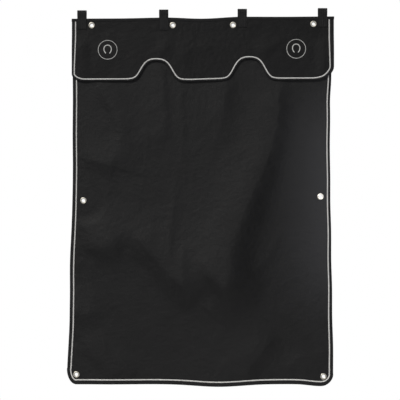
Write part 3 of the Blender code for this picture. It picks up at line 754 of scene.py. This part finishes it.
def relief(tree, shader, layers):
    """A bump of all layers added up, each a pattern and its height in metres."""
    total = 0.0
    for pattern, height in layers:
        total = node(tree, "ShaderNodeMath", {0: pattern, 1: height, 2: total},
                     operation="MULTIPLY_ADD").outputs[0]
    raised = node(tree, "ShaderNodeBump", {"Height": total, "Distance": 1.0, "Strength": 1.0})
    tree.links.new(raised.outputs["Normal"], shader.inputs["Normal"])


def woven_polyester(name, low, high, sheen):
    """Plain-woven 1200-denier polyester, proofed on the back: matt black with a faint dry sheen.

    Its threads are 0.6 mm apart; they are drawn 1.8 mm apart, the finest that shows.  Slack, in blots
    of 85 mm, and crumple, of 22 mm, make it as uneven as cloth that was folded to be sent."""
    made, tree, shader = new_material(name, Roughness=0.56, IOR=1.5, Specular_IOR_Level=sheen)
    places, across, along = cloth_places(tree)
    uneven_colour(tree, shader, places, low, high, blot=0.11, detail=4.0)
    warp = ridges(tree, across, pitch=0.0018)
    weft = ridges(tree, along, pitch=0.0018)
    weave = node(tree, "ShaderNodeMath", {0: warp, 1: weft}, operation="MULTIPLY")
    slack = node(tree, "ShaderNodeTexNoise", {"Vector": places, "Scale": 1.0 / 0.085, "Detail": 2.0})
    crumple = node(tree, "ShaderNodeTexNoise", {"Vector": places, "Scale": 1.0 / 0.022, "Detail": 4.0})
    relief(tree, shader, ((weave.outputs[0], 0.00008), (slack.outputs["Fac"], 0.0036),
                          (crumple.outputs["Fac"], 0.0019)))
    return made


def ribbed_tape():
    """Grosgrain polyester binding tape: close ribs across it, a little shinier than the cloth."""
    made, tree, shader = new_material("grosgrain polyester tape", Roughness=0.62, IOR=1.5,
                                      Specular_IOR_Level=0.30)
    places, _, along = cloth_places(tree)
    uneven_colour(tree, shader, places, "#101011", "#161617", blot=0.03)
    relief(tree, shader, [(ridges(tree, along, pitch=0.0016), 0.00010)])
    return made


def flat_webbing():
    """Polypropylene webbing, woven in a herringbone: ribs that lean left and right by turns."""
    made, tree, shader = new_material("herringbone polypropylene webbing", Roughness=0.60, IOR=1.49,
                                      Specular_IOR_Level=0.30)
    places, across, along = cloth_places(tree)
    uneven_colour(tree, shader, places, "#121213", "#1a1a1b", blot=0.012)
    zigzag = node(tree, "ShaderNodeMath", {0: across, 1: RIB_WIDTH}, operation="PINGPONG")
    twill = slant_ridges(tree, zigzag.outputs[0], along, pitch=0.0022)
    relief(tree, shader, [(twill, 0.00016)])
    return made


def satin_piping():
    """Piping cord in a bias strip of grey satin-weave polyester: fine slant lines, a soft shine."""
    made, tree, shader = new_material("satin polyester piping", Roughness=0.50, IOR=1.5,
                                      Specular_IOR_Level=0.5, Sheen_Weight=0.2, Sheen_Roughness=0.4)
    places, across, along = cloth_places(tree)
    uneven_colour(tree, shader, places, "#d8d7d4", "#e8e7e4", blot=0.018)
    weave = slant_ridges(tree, across, along, pitch=0.0014)
    puckers = node(tree, "ShaderNodeTexNoise", {"Vector": places, "Scale": 1.0 / 0.006, "Detail": 3.0})
    relief(tree, shader, ((weave, 0.00005), (puckers.outputs["Fac"], 0.0006)))
    return made


def spun_thread(name, low, high, shine):
    """Twisted polyester sewing thread: fine slanting plies."""
    made, tree, shader = new_material(name, Roughness=0.45, IOR=1.5, Specular_IOR_Level=shine)
    places, across, along = cloth_places(tree)
    uneven_colour(tree, shader, places, low, high, blot=0.02)
    relief(tree, shader, [(slant_ridges(tree, across, along, pitch=0.0007), 0.00005)])
    return made


def nickel_plate():
    """Nickel-plated brass, stamped and barrelled: bright and slightly warm, with fine rubbing."""
    made, tree, shader = new_material("nickel-plated brass", Metallic=1.0)
    places = node(tree, "ShaderNodeTexCoord").outputs["Object"]
    rubbed = uneven_colour(tree, shader, places, "#c9c4b6", "#dedad0", blot=0.004, detail=5.0)
    polish = node(tree, "ShaderNodeMapRange", {"Value": rubbed, "To Min": 0.34, "To Max": 0.48})
    tree.links.new(polish.outputs[0], shader.inputs["Roughness"])
    grain = node(tree, "ShaderNodeTexNoise", {"Vector": places, "Scale": 1.0 / 0.0009, "Detail": 2.0})
    relief(tree, shader, [(grain.outputs["Fac"], 0.00003)])
    return made


PANEL_FINISH = woven_polyester("woven polyester, proofed", "#0a0a0b", "#0e0e0f", 0.32)
# The valance gets a darker copy of the panel's cloth as painted shade: its base colour is a step darker
# and its sheen weaker.
VALANCE_PAINTED_SHADE_FINISH = woven_polyester("woven polyester, valance copy darkened as painted shade", "#09090a", "#0d0d0e", 0.25)
TAPE_FINISH = ribbed_tape()
WEBBING_FINISH = flat_webbing()
PIPING_FINISH = satin_piping()
BLACK_THREAD = spun_thread("black sewing thread", "#131314", "#1c1c1e", 0.4)
GREY_THREAD = spun_thread("grey embroidery thread", "#d3d3d0", "#e6e6e3", 0.5)
NICKEL_FINISH = nickel_plate()


# ---------------------------------------------------------------- cloth
def pinned_holes(x, z, eyelets, radius):
    """Draws the grid round each eyelet into rings, so that four quads there leave a round hole.

    A point's ring is its larger count of cells from the eyelet's nearest grid point.  The first ring
    goes to the hole's radius and the next ones a cell further out each, and by ring HOLE_RINGS the
    grid is even again."""
    keep = np.ones((x.shape[0] - 1, x.shape[1] - 1), bool)
    row, column = np.indices(x.shape)
    for eyelet in eyelets:
        i, j = np.unravel_index(np.hypot(x - eyelet.x, z - eyelet.z).argmin(), x.shape)
        cell = abs(x[i, j + 1] - x[i, j - 1]) / 4 + abs(z[i + 1, j] - z[i - 1, j]) / 4
        ring = np.maximum(abs(row - i), abs(column - j))
        follow = 1.0 - ease(ring, 2, MOVED_RINGS)
        x = x + (eyelet.x - x[i, j]) * follow
        z = z + (eyelet.z - z[i, j]) * follow
        away_x = x - eyelet.x
        away_z = z - eyelet.z
        distance = np.maximum(np.hypot(away_x, away_z), 1e-9)
        wanted = np.where(ring > 0, radius + (ring - 1) * cell, 0.0)
        scale = lerp(1.0, wanted / distance, 1.0 - ease(ring, 1, HOLE_RINGS))
        x = np.where(ring < HOLE_RINGS, eyelet.x + away_x * scale, x)
        z = np.where(ring < HOLE_RINGS, eyelet.z + away_z * scale, z)
        keep[i - 1:i + 1, j - 1:j + 1] = False
    return x, z, keep


def sheet_of_cloth(name, x, z, depth_at, eyelets, thickness, finish):
    """A sheet over a grid of (x, z), at its depth, with a hole for each eyelet."""
    x, z, keep = pinned_holes(x, z, eyelets, CLOTH_HOLE)
    points = np.stack([x, -depth_at(x, z), z], -1)
    uv = np.stack([x, z], -1)
    piece = add_piece(name, [grid_faces(points, uv, keep=keep)], finish, solid=False)
    return thicken(piece, thickness)


def make_panel_cloth():
    """The main panel: even columns between its edges, closer by them, and rows down to its foot.

    The edges depend on the height and the foot on the place across, so both are worked out twice."""
    columns, rows = PANEL_GRID
    s = np.linspace(0.0, 1.0, columns + 1)
    u = (s - COLUMNS_CLOSER * np.sin(2 * np.pi * s) / (2 * np.pi))[None]
    t = np.linspace(0.0, 1.0, rows + 1)[:, None]
    z = -DROP * t
    for _ in range(2):
        x = lerp(left_edge(z) + CUT_EDGE, right_edge(z) - CUT_EDGE, u)
        z = lerp(heading_foot(x) + PANEL_TUCK, panel_foot(x) + CUT_EDGE, t)
        z = z + panel_corner(x) * ramp(t, *CORNER_ROWS)
    x = lerp(left_edge(z) + CUT_EDGE, right_edge(z) - CUT_EDGE, u)
    piece = sheet_of_cloth("panel_cloth", x, z, panel_depth, PANEL_EYELETS, PANEL_CLOTH, PANEL_FINISH)
    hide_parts("main_panel")
    return piece


def make_valance_cloth():
    """The valance: even columns, and rows from the top tape down to the arched foot."""
    columns, rows = VALANCE_GRID
    x = np.linspace(VALANCE_LEFT + CUT_EDGE, VALANCE_RIGHT - CUT_EDGE, columns + 1)[None]
    t = np.linspace(0.0, 1.0, rows + 1)[:, None]
    z = lerp(top_edge(x) - TAPE_GAP - TAPE, valance_foot(x) + CUT_EDGE, t)
    x = np.broadcast_to(x, z.shape)
    piece = sheet_of_cloth("valance_cloth", x, z, valance_depth, TOP_EYELETS, VALANCE_CLOTH,
                           VALANCE_PAINTED_SHADE_FINISH)
    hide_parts("valance")
    return piece


def make_heading():
    """A strip folded double at the top edge, its two layers parting at the foot for the panel."""
    columns, rows = HEADING_GRID
    shut = 0.0001 + HEADING_LAYER / 2
    parted = 0.0010
    x = np.linspace(-HALF_WIDTH, HALF_WIDTH - HEADING_SHORT, columns + 1)[None]
    down = np.linspace(1.0, 0.0, rows + 1)[:, None]
    z = lerp(top_edge(x) - TAPE_GAP - TAPE, heading_foot(x) - HEADING_BELOW, down)
    half = shut + parted * (1.0 - ease(z - heading_foot(x), *HEADING_PARTS))
    x = np.broadcast_to(x, z.shape)
    x, z, keep = pinned_holes(x, z, TOP_EYELETS, CLOTH_HOLE)
    front = np.stack([x, -half, z], -1)
    back = np.stack([x, half, z], -1)[::-1][1:]
    points = np.concatenate([front, back])
    points[rows, :, 1] = 0.0
    along = np.linspace(0.0, 2 * HEADING_HEIGHT, len(points))[:, None]
    uv = np.stack([points[..., 0], np.broadcast_to(along, points.shape[:2])], -1)
    keep = np.concatenate([keep, keep[::-1]])
    piece = add_piece("heading_cloth", [grid_faces(points, uv, keep=keep)], PANEL_FINISH,
                      solid=False)
    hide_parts("heading_strip")
    return thicken(piece, HEADING_LAYER)


# ---------------------------------------------------------------- bound edges
def edge_frames(x, z, insets, depth_at):
    """Along a bound edge: the cloth's edge, the trim line inside it, out and forward."""
    run = unit(np.stack([np.gradient(x), np.zeros_like(x), np.gradient(z)], 1))
    trim_x = x - run[:, 2] * insets
    trim_z = z + run[:, 0] * insets
    edge = np.stack([x, -depth_at(x, z), z], 1)
    trim = np.stack([trim_x, -depth_at(trim_x, trim_z), trim_z], 1)
    outward = unit(edge - trim)
    along = unit(np.gradient(trim, axis=0))
    forward = unit(np.cross(along, outward))
    forward *= -np.sign(forward[:, 1:2])
    return edge, trim, outward, forward


def folded_tape(name, frames, cloth):
    """Tape round an edge: from the piping out over the front, round a half circle, and back."""
    edge, trim, outward, forward = frames
    lift = cloth / 2 + TAPE_GAP + TAPE / 2
    width = np.linalg.norm(edge - trim, axis=1) - TAPE_START
    rise = lift + np.array(TAPE_RISES)
    turn = np.radians(TAPE_TURNS)
    flat_out = -width[:, None] * (1.0 - np.array(TAPE_SHARES))
    bend_out = np.tile(lift * 0.9 * np.sin(turn), (len(edge), 1))
    out = np.hstack([flat_out, bend_out, flat_out[:, ::-1]])
    up = np.concatenate([rise, lift * np.cos(turn), -rise[::-1]])
    points = edge[:, None] + outward[:, None] * out[..., None] + forward[:, None] * up[None, :, None]
    uv = grid_uv(lengths_along(points[len(points) // 2]), lengths_along(trim))
    piece = add_piece(name, [grid_faces(points, uv)], TAPE_FINISH, solid=False)
    return thicken(piece, TAPE)


def tape_stitches(name, frames, cloth):
    """A row of stitches on the front and the back of the tape, by its inner edge."""
    trim, outward, forward = frames[1:]
    lift = cloth / 2 + TAPE_GAP + TAPE - STITCH_SUNK
    inner = trim + outward * (PIPING_RADIUS + STITCH_FROM_PIPING)
    front = stitch_row(inner + forward * lift, forward)
    back = stitch_row(inner - forward * lift, -forward)
    return add_piece(name, [front, back], BLACK_THREAD)


def bound_edge(prefix, x, z, insets, depth_at, cloth, piping_from):
    """Tape, piping and stitches of one bound edge; the piping starts piping_from stations in."""
    frames = edge_frames(x, z, insets, depth_at)
    tape = folded_tape(f"{prefix}_edge_tape", frames, cloth)
    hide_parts(f"{prefix}_binding")
    trim, _, forward = frames[1:]
    centres = (trim + forward * (cloth / 2 + PIPING_STANDS))[piping_from:len(trim) - piping_from]
    cord = add_piece(f"{prefix}_edge_piping", [tube(centres, PIPING_RADIUS, 16)], PIPING_FINISH)
    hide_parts(f"{prefix}_piping")
    thread = tape_stitches(f"{prefix}_edge_stitches", frames, cloth)
    return [tape, cord, thread]


def make_panel_edge():
    """The panel's edge, its trim wider along the foot than up the sides."""
    x, z = panel_outline(step=0.006)
    low = ease(x - left_edge(z), 0.0, TRIM_CHANGE) * ease(right_edge(z) - x, 0.0, TRIM_CHANGE)
    side = np.where(x < 0.0, PANEL_TRIM_INSET, right_inset(z))
    return bound_edge("panel", x, z, lerp(side, PANEL_TRIM_INSET_LOW, low), panel_depth,
                      PANEL_CLOTH, piping_from=3)


def make_valance_edge():
    """The valance's edge, its side trims narrowing downwards and narrowest along the foot."""
    x, z = valance_outline(step=0.004)
    down = ease(-z, *VALANCE_INSETS_CHANGE)
    side = np.where(x < 0.0, lerp(*VALANCE_LEFT_INSETS, down), lerp(*VALANCE_RIGHT_INSETS, down))
    low = ease(x - VALANCE_LEFT, 0.0, TRIM_CHANGE) * ease(VALANCE_RIGHT - x, 0.0, TRIM_CHANGE)
    return bound_edge("valance", x, z, lerp(side, VALANCE_LOW_INSET, low), valance_depth,
                      VALANCE_CLOTH, piping_from=0)


def make_top_tape():
    """Tape folded over the top edge of valance and heading together, and its stitches."""
    low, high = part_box("top_binding")
    x = np.linspace(low.x, high.x, 241)
    front = low.y + TAPE / 2
    back = high.y - TAPE / 2
    foot = -TOP_TAPE_HEIGHT
    seam = foot + TOP_SEAM
    top = -TAPE / 2
    section = np.array([
        (front + 0.00005, foot), (front, foot + 0.0012), (front + TOP_DENT, seam),
        (front, foot + 0.0042), (front - TOP_DENT, foot / 2), (front, -0.0035),
        (front + 0.0001, top - TOP_ROUND), (front + TOP_ROUND, top),
        ((front + back) / 2, top + 0.0001), (back - TOP_ROUND, top), (back, top - TOP_ROUND),
        (back, foot / 2), (back - TOP_DENT, seam), (back, foot)])
    wave = sum(height * np.sin(x / length + start) for height, length, start in TOP_WAVES)
    lower = ramp(section[:, 1], foot * 0.6, foot)
    heights = top_edge(x)[:, None] + section[:, 1] + wave[:, None] * lower
    points = np.stack(np.broadcast_arrays(x[:, None], section[:, 0], heights), -1)
    uv = grid_uv(lengths_along(points[0]), x)
    tape = add_piece("top_edge_tape", [grid_faces(points, uv)], TAPE_FINISH, solid=False)
    thicken(tape, TAPE)
    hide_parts("top_binding")
    rows = []
    for middle, way in ((front, -1.0), (back, 1.0)):
        surface = middle + way * (TAPE / 2 - TOP_DENT)
        line = np.stack([x, np.full_like(x, surface), top_edge(x) + seam + wave], 1)
        rows.append(stitch_row(line, np.tile([0.0, way, 0.0], (len(x), 1))))
    thread = add_piece("top_edge_stitches", rows, BLACK_THREAD)
    return [tape, thread]


# ---------------------------------------------------------------- tabs
def webbing_section(width, across=24):
    """A flat strip's section: level faces, faint ribs, and round selvedges."""
    half = width / 2 - WEBBING / 2
    x = np.linspace(-half, half, across)
    ribs = RIB_HEIGHT * np.cos(x * 2 * np.pi / RIB_WIDTH)
    turn = np.radians([60, 30, 0, -30, -60])
    right = np.stack([half + WEBBING / 2 * np.cos(turn), WEBBING / 2 * np.sin(turn)], 1)
    front = np.stack([x, WEBBING / 2 + ribs], 1)
    back = np.stack([x[::-1], -WEBBING / 2 - ribs], 1)
    return np.concatenate([front, right, back, -right])


def tab_route(number):
    """Up the front, round a half circle over the rod's place and down the back, as (y, z)."""
    low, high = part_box(f"tab_{number}")
    edge = float(top_edge(TAB_CENTRES[number - 1]))
    front = -(VALANCE_Y + VALANCE_CLOTH / 2 + 2 * GAP + TAPE + WEBBING / 2)
    back = HEADING_CLOTH / 2 + 2 * GAP + TAPE + WEBBING / 2
    middle = (front + back) / 2
    crown = high.z - WEBBING / 2 - TAB_LOOP_RADIUS
    angle = np.linspace(0.0, np.pi, 25)
    over = np.stack([middle - TAB_LOOP_RADIUS * np.cos(angle),
                     crown + TAB_LOOP_RADIUS * np.sin(angle)], 1)
    up = [(front, low.z * share) for share in (1.0, 0.66, 0.33)]
    up += [(front - out, edge + rise) for out, rise in TAB_NECK]
    up += [(middle - TAB_LOOP_RADIUS, edge + TAB_NECK_TOP)]
    down = [(middle + TAB_LOOP_RADIUS, edge + TAB_NECK_TOP)]
    down += [(back + out, edge + rise) for out, rise in TAB_NECK[::-1]]
    down += [(back, (edge - TAB_LEG) * share) for share in (0.5, 1.0)]
    return np.concatenate([up, over, down])


def tab_stitches(number, route):
    """A stitched box with a cross in it, on the front leg and on the back leg."""
    x = TAB_CENTRES[number - 1]
    low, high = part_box(f"tab_{number}")
    half = (high.x - low.x) / 2 - BOX_INSET
    top = float(top_edge(x)) - BOX_BELOW_EDGE
    parts = []
    for (y, foot), way in ((route[0], -1.0), (route[-1], 1.0)):
        surface = y + way * WEBBING / 2
        bottom = foot + BOX_INSET
        corners = [(x - half, bottom), (x + half, bottom), (x + half, top), (x - half, top),
                   (x - half, bottom), (x + half, top)]
        lines = list(zip(corners, corners[1:])) + [((x - half, top), (x + half, bottom))]
        for (x0, z0), (x1, z1) in lines:
            line = np.array([(x0, surface, z0), (x1, surface, z1)])
            parts.append(stitch_row(line, np.tile([0.0, way, 0.0], (2, 1))))
    return parts


def make_tab(number):
    """A loop of webbing, its section carried along the route."""
    low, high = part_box(f"tab_{number}")
    route = tab_route(number)
    run = unit(np.gradient(route, axis=0))
    centres = np.stack([np.full(len(route), TAB_CENTRES[number - 1]), route[:, 0], route[:, 1]], 1)
    across = np.tile([1.0, 0.0, 0.0], (len(route), 1))
    up = np.stack([np.zeros(len(route)), -run[:, 1], run[:, 0]], 1)
    section = webbing_section(high.x - low.x)
    points = carry(section, centres, across, up)
    closed = np.vstack([section, section[:1]])
    uv = grid_uv(lengths_along(closed), lengths_along(centres))
    tab = add_piece(f"tab_webbing_{number}", [grid_faces(points, uv, round_across=True, caps=True)],
                    WEBBING_FINISH)
    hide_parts(f"tab_{number}")
    thread = add_piece(f"tab_stitches_{number}", tab_stitches(number, route), BLACK_THREAD)
    return [tab, thread]


# ---------------------------------------------------------------- eyelets
def arc(centre, radius, start, end, count):
    """Places along an arc, in degrees from the first axis towards the second."""
    turn = np.radians(np.linspace(start, end, count))
    return np.stack([centre[0] + radius[0] * np.cos(turn), centre[1] + radius[1] * np.sin(turn)], 1)


def make_eyelet(number):
    """Domed flange, barrel through the cloth, and the barrel's end rolled over its washer."""
    low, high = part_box(f"eyelet_{number}")
    centre = (low + high) / 2
    outer = (high.x - low.x) / 2
    face = low.y + EYELET_DOME
    barrel = EYELET_HOLE + EYELET_WALL
    dome = ((outer - EYELET_HOLE) / 2, -EYELET_DOME)
    flange = arc(((EYELET_HOLE + outer) / 2, face), dome, 180.0, 0.0, 17)
    under = [(outer - EYELET_RIM, face + EYELET_RIM / 3), (outer - 2.5 * EYELET_RIM, face),
             (barrel + EYELET_FILLET, face), (barrel, face + EYELET_FILLET / 2),
             (barrel, high.y - 1.5 * EYELET_ROLL[1])]
    rolled = arc((barrel + EYELET_FILLET, high.y - EYELET_ROLL[1]), EYELET_ROLL, 0.0, 180.0, 11)
    section = np.concatenate([flange, under, rolled])
    eyelet = add_piece(f"eyelet_brass_{number}", [turned(section, centre)], NICKEL_FINISH)
    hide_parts(f"eyelet_{number}")
    washer_low, washer_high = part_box(f"washer_{number}")
    wide = (washer_high.x - washer_low.x) / 2
    inner = barrel + GAP
    swell = ((wide - inner) / 2, (washer_high.y - washer_low.y) * 0.66)
    top = arc(((wide + inner) / 2, washer_low.y + 0.0002), swell, 0.0, 180.0, 13)
    section = np.concatenate([top, [(inner, washer_low.y), (wide, washer_low.y)]])
    washer = add_piece(f"washer_brass_{number}", [turned(section, centre)], NICKEL_FINISH)
    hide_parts(f"washer_{number}")
    return [eyelet, washer]


# ---------------------------------------------------------------- embroidery
def satin_line(x, z, width):
    """Close stitches across a line, each as long as the line is wide, on the valance's face."""
    x, z = even_line(x, z, SATIN_PITCH)
    run = unit(np.stack([np.gradient(x), np.gradient(z)], 1))
    side_x = (-run[:, 1] + SATIN_SLANT * run[:, 0]) * width / 2
    side_z = (run[:, 0] + SATIN_SLANT * run[:, 1]) * width / 2

    def on_cloth(px, pz):
        """The point on the valance's face, a little out from it."""
        return np.stack([px, -valance_depth(px, pz) - VALANCE_CLOTH / 2 - SATIN_LIFT, pz], 1)

    starts = on_cloth(x - side_x, z - side_z)
    ends = on_cloth(x + side_x, z + side_z)
    normals = np.tile([0.0, -1.0, 0.0], (len(x), 1))
    return stitches(starts, ends, normals, radius=SATIN_THREAD, sides=5)


def make_motif(number, centre):
    """A plain ring with a plain horseshoe in it, in satin stitch."""
    cx, cz = centre
    turn = np.linspace(0.0, 2 * np.pi, 340)
    ring = satin_line(cx + MOTIF_RING * np.cos(turn), cz + MOTIF_RING * np.sin(turn), MOTIF_RING_LINE)
    turn = np.radians(np.linspace(*SHOE_TURNS, 90))
    shoe_x = cx + SHOE_HALF[0] * np.cos(turn) * (1.0 + SHOE_BELLY * np.sin(turn))
    shoe_z = cz + SHOE_LIFT + SHOE_HALF[1] * np.sin(turn)
    shoe = satin_line(shoe_x, shoe_z, SHOE_LINE)
    return add_piece(f"motif_{number}", [ring, shoe], GREY_THREAD)


# ---------------------------------------------------------------- the curtain
panel = make_panel_cloth()
panel_edge = make_panel_edge()
valance = make_valance_cloth()
valance_edge = make_valance_edge()
motifs = [make_motif(number, centre) for number, centre in enumerate(MOTIF_CENTRES, 1)]
heading = make_heading()
top_edge_pieces = make_top_tape()
tabs = [piece for number in (1, 2, 3, 4) for piece in make_tab(number)]
eyelets = [piece for number in range(1, 9) for piece in make_eyelet(number)]


# ---------------------------------------------------------------- floor, light and camera
MIDDLE = (cad_box[0] + cad_box[1]) / 2


def make_floor():
    """A pale round studio floor below the curtain."""
    turn = np.arange(FLOOR_SIDES) * 2 * np.pi / FLOOR_SIDES
    radius = np.array(FLOOR_RINGS)[:, None]
    points = np.stack(np.broadcast_arrays(MIDDLE.x + radius * np.cos(turn),
                                          MIDDLE.y + radius * np.sin(turn),
                                          cad_box[0].z - FLOOR_BELOW), -1)
    uv = np.concatenate([points[..., :2], points[:, :1, :2]], 1)
    made, tree, shader = new_material("pale painted floor", Roughness=0.85)
    places = node(tree, "ShaderNodeTexCoord").outputs["Object"]
    uneven_colour(tree, shader, places, "#e9e8e6", "#f1f0ee", blot=0.6)
    verts, faces, _ = grid_faces(points, uv, round_across=True)
    mesh = bpy.data.meshes.new("floor")
    mesh.from_pydata(verts.tolist(), [], faces + [list(range(FLOOR_SIDES))])
    mesh.materials.append(made)
    floor = add_object("floor", mesh)


def aim(thing, target):
    """Turns a light or camera, which looks down its own -Z, towards a place."""
    thing.rotation_euler = (Vector(target) - thing.location).to_track_quat("-Z", "Y").to_euler()


def add_light(name, kind, place, target, energy, colour, **settings):
    """A light at a place and aimed at a target, both from the curtain's middle."""
    lamp = bpy.data.lights.new(name, kind)
    lamp.energy = energy
    lamp.color = linear(colour)[:3]
    for key, value in settings.items():
        setattr(lamp, key, value)
    light = add_object(name, lamp)
    light.location = MIDDLE + Vector(place)
    aim(light, MIDDLE + Vector(target))
    return light


def make_world():
    """White behind the curtain, and a weaker even light from all round."""
    world = bpy.data.worlds.new("white studio")
    bpy.context.scene.world = world
    world.use_nodes = True
    tree = world.node_tree
    tree.nodes.clear()
    seen = node(tree, "ShaderNodeBackground", {"Color": (1.0, 1.0, 1.0, 1.0), "Strength": 1.0})
    around = node(tree, "ShaderNodeBackground", {"Color": linear("#f2f4ff"), "Strength": 0.15})
    path = node(tree, "ShaderNodeLightPath")
    mix = node(tree, "ShaderNodeMixShader", {0: path.outputs["Is Camera Ray"],
                                             1: around.outputs[0], 2: seen.outputs[0]})
    node(tree, "ShaderNodeOutputWorld", {"Surface": mix.outputs[0]})


def make_camera():
    """Level with the curtain's middle and square to it, a long lens from six metres."""
    lens = bpy.data.cameras.new("camera")
    lens.lens = LENS
    lens.sensor_width = SENSOR
    camera = add_object("camera", lens)
    target = Vector((MIDDLE.x + VIEW_SHIFT[0], 0.0, MIDDLE.z + VIEW_SHIFT[1]))
    camera.location = target - Vector((0.0, VIEW_WIDTH * LENS / SENSOR, 0.0))
    aim(camera, target)
    bpy.context.scene.camera = camera


make_floor()
make_world()
add_light("key from above left", "SUN", (-1.8, -3.2, 2.5), (0.0, 0.0, 0.0), 1.6, "#fffdf8",
          angle=math.radians(20))
strip = add_light("strip light on the right side", "AREA", (0.80, -0.70, 0.0), (0.74, 0.0, -0.02),
                  0.72, "#f4f6ff", shape="RECTANGLE", size=0.10, size_y=1.0, spread=math.radians(58))
# It shows only in the sheen of cloth and metal, as a narrow glow down the right edge
strip.visible_diffuse = False
add_light("softbox in front", "AREA", (0.0, -7.5, 0.3), (0.0, 0.0, 0.0), 60.0, "#ffffff",
          shape="RECTANGLE", size=3.0, size_y=3.0)
add_light("key behind", "SUN", (1.4, 2.6, 3.6), (0.0, 0.0, 0.0), 1.6, "#ffffff",
          angle=math.radians(30))
make_camera()
bpy.context.scene.view_settings.view_transform = "Standard"
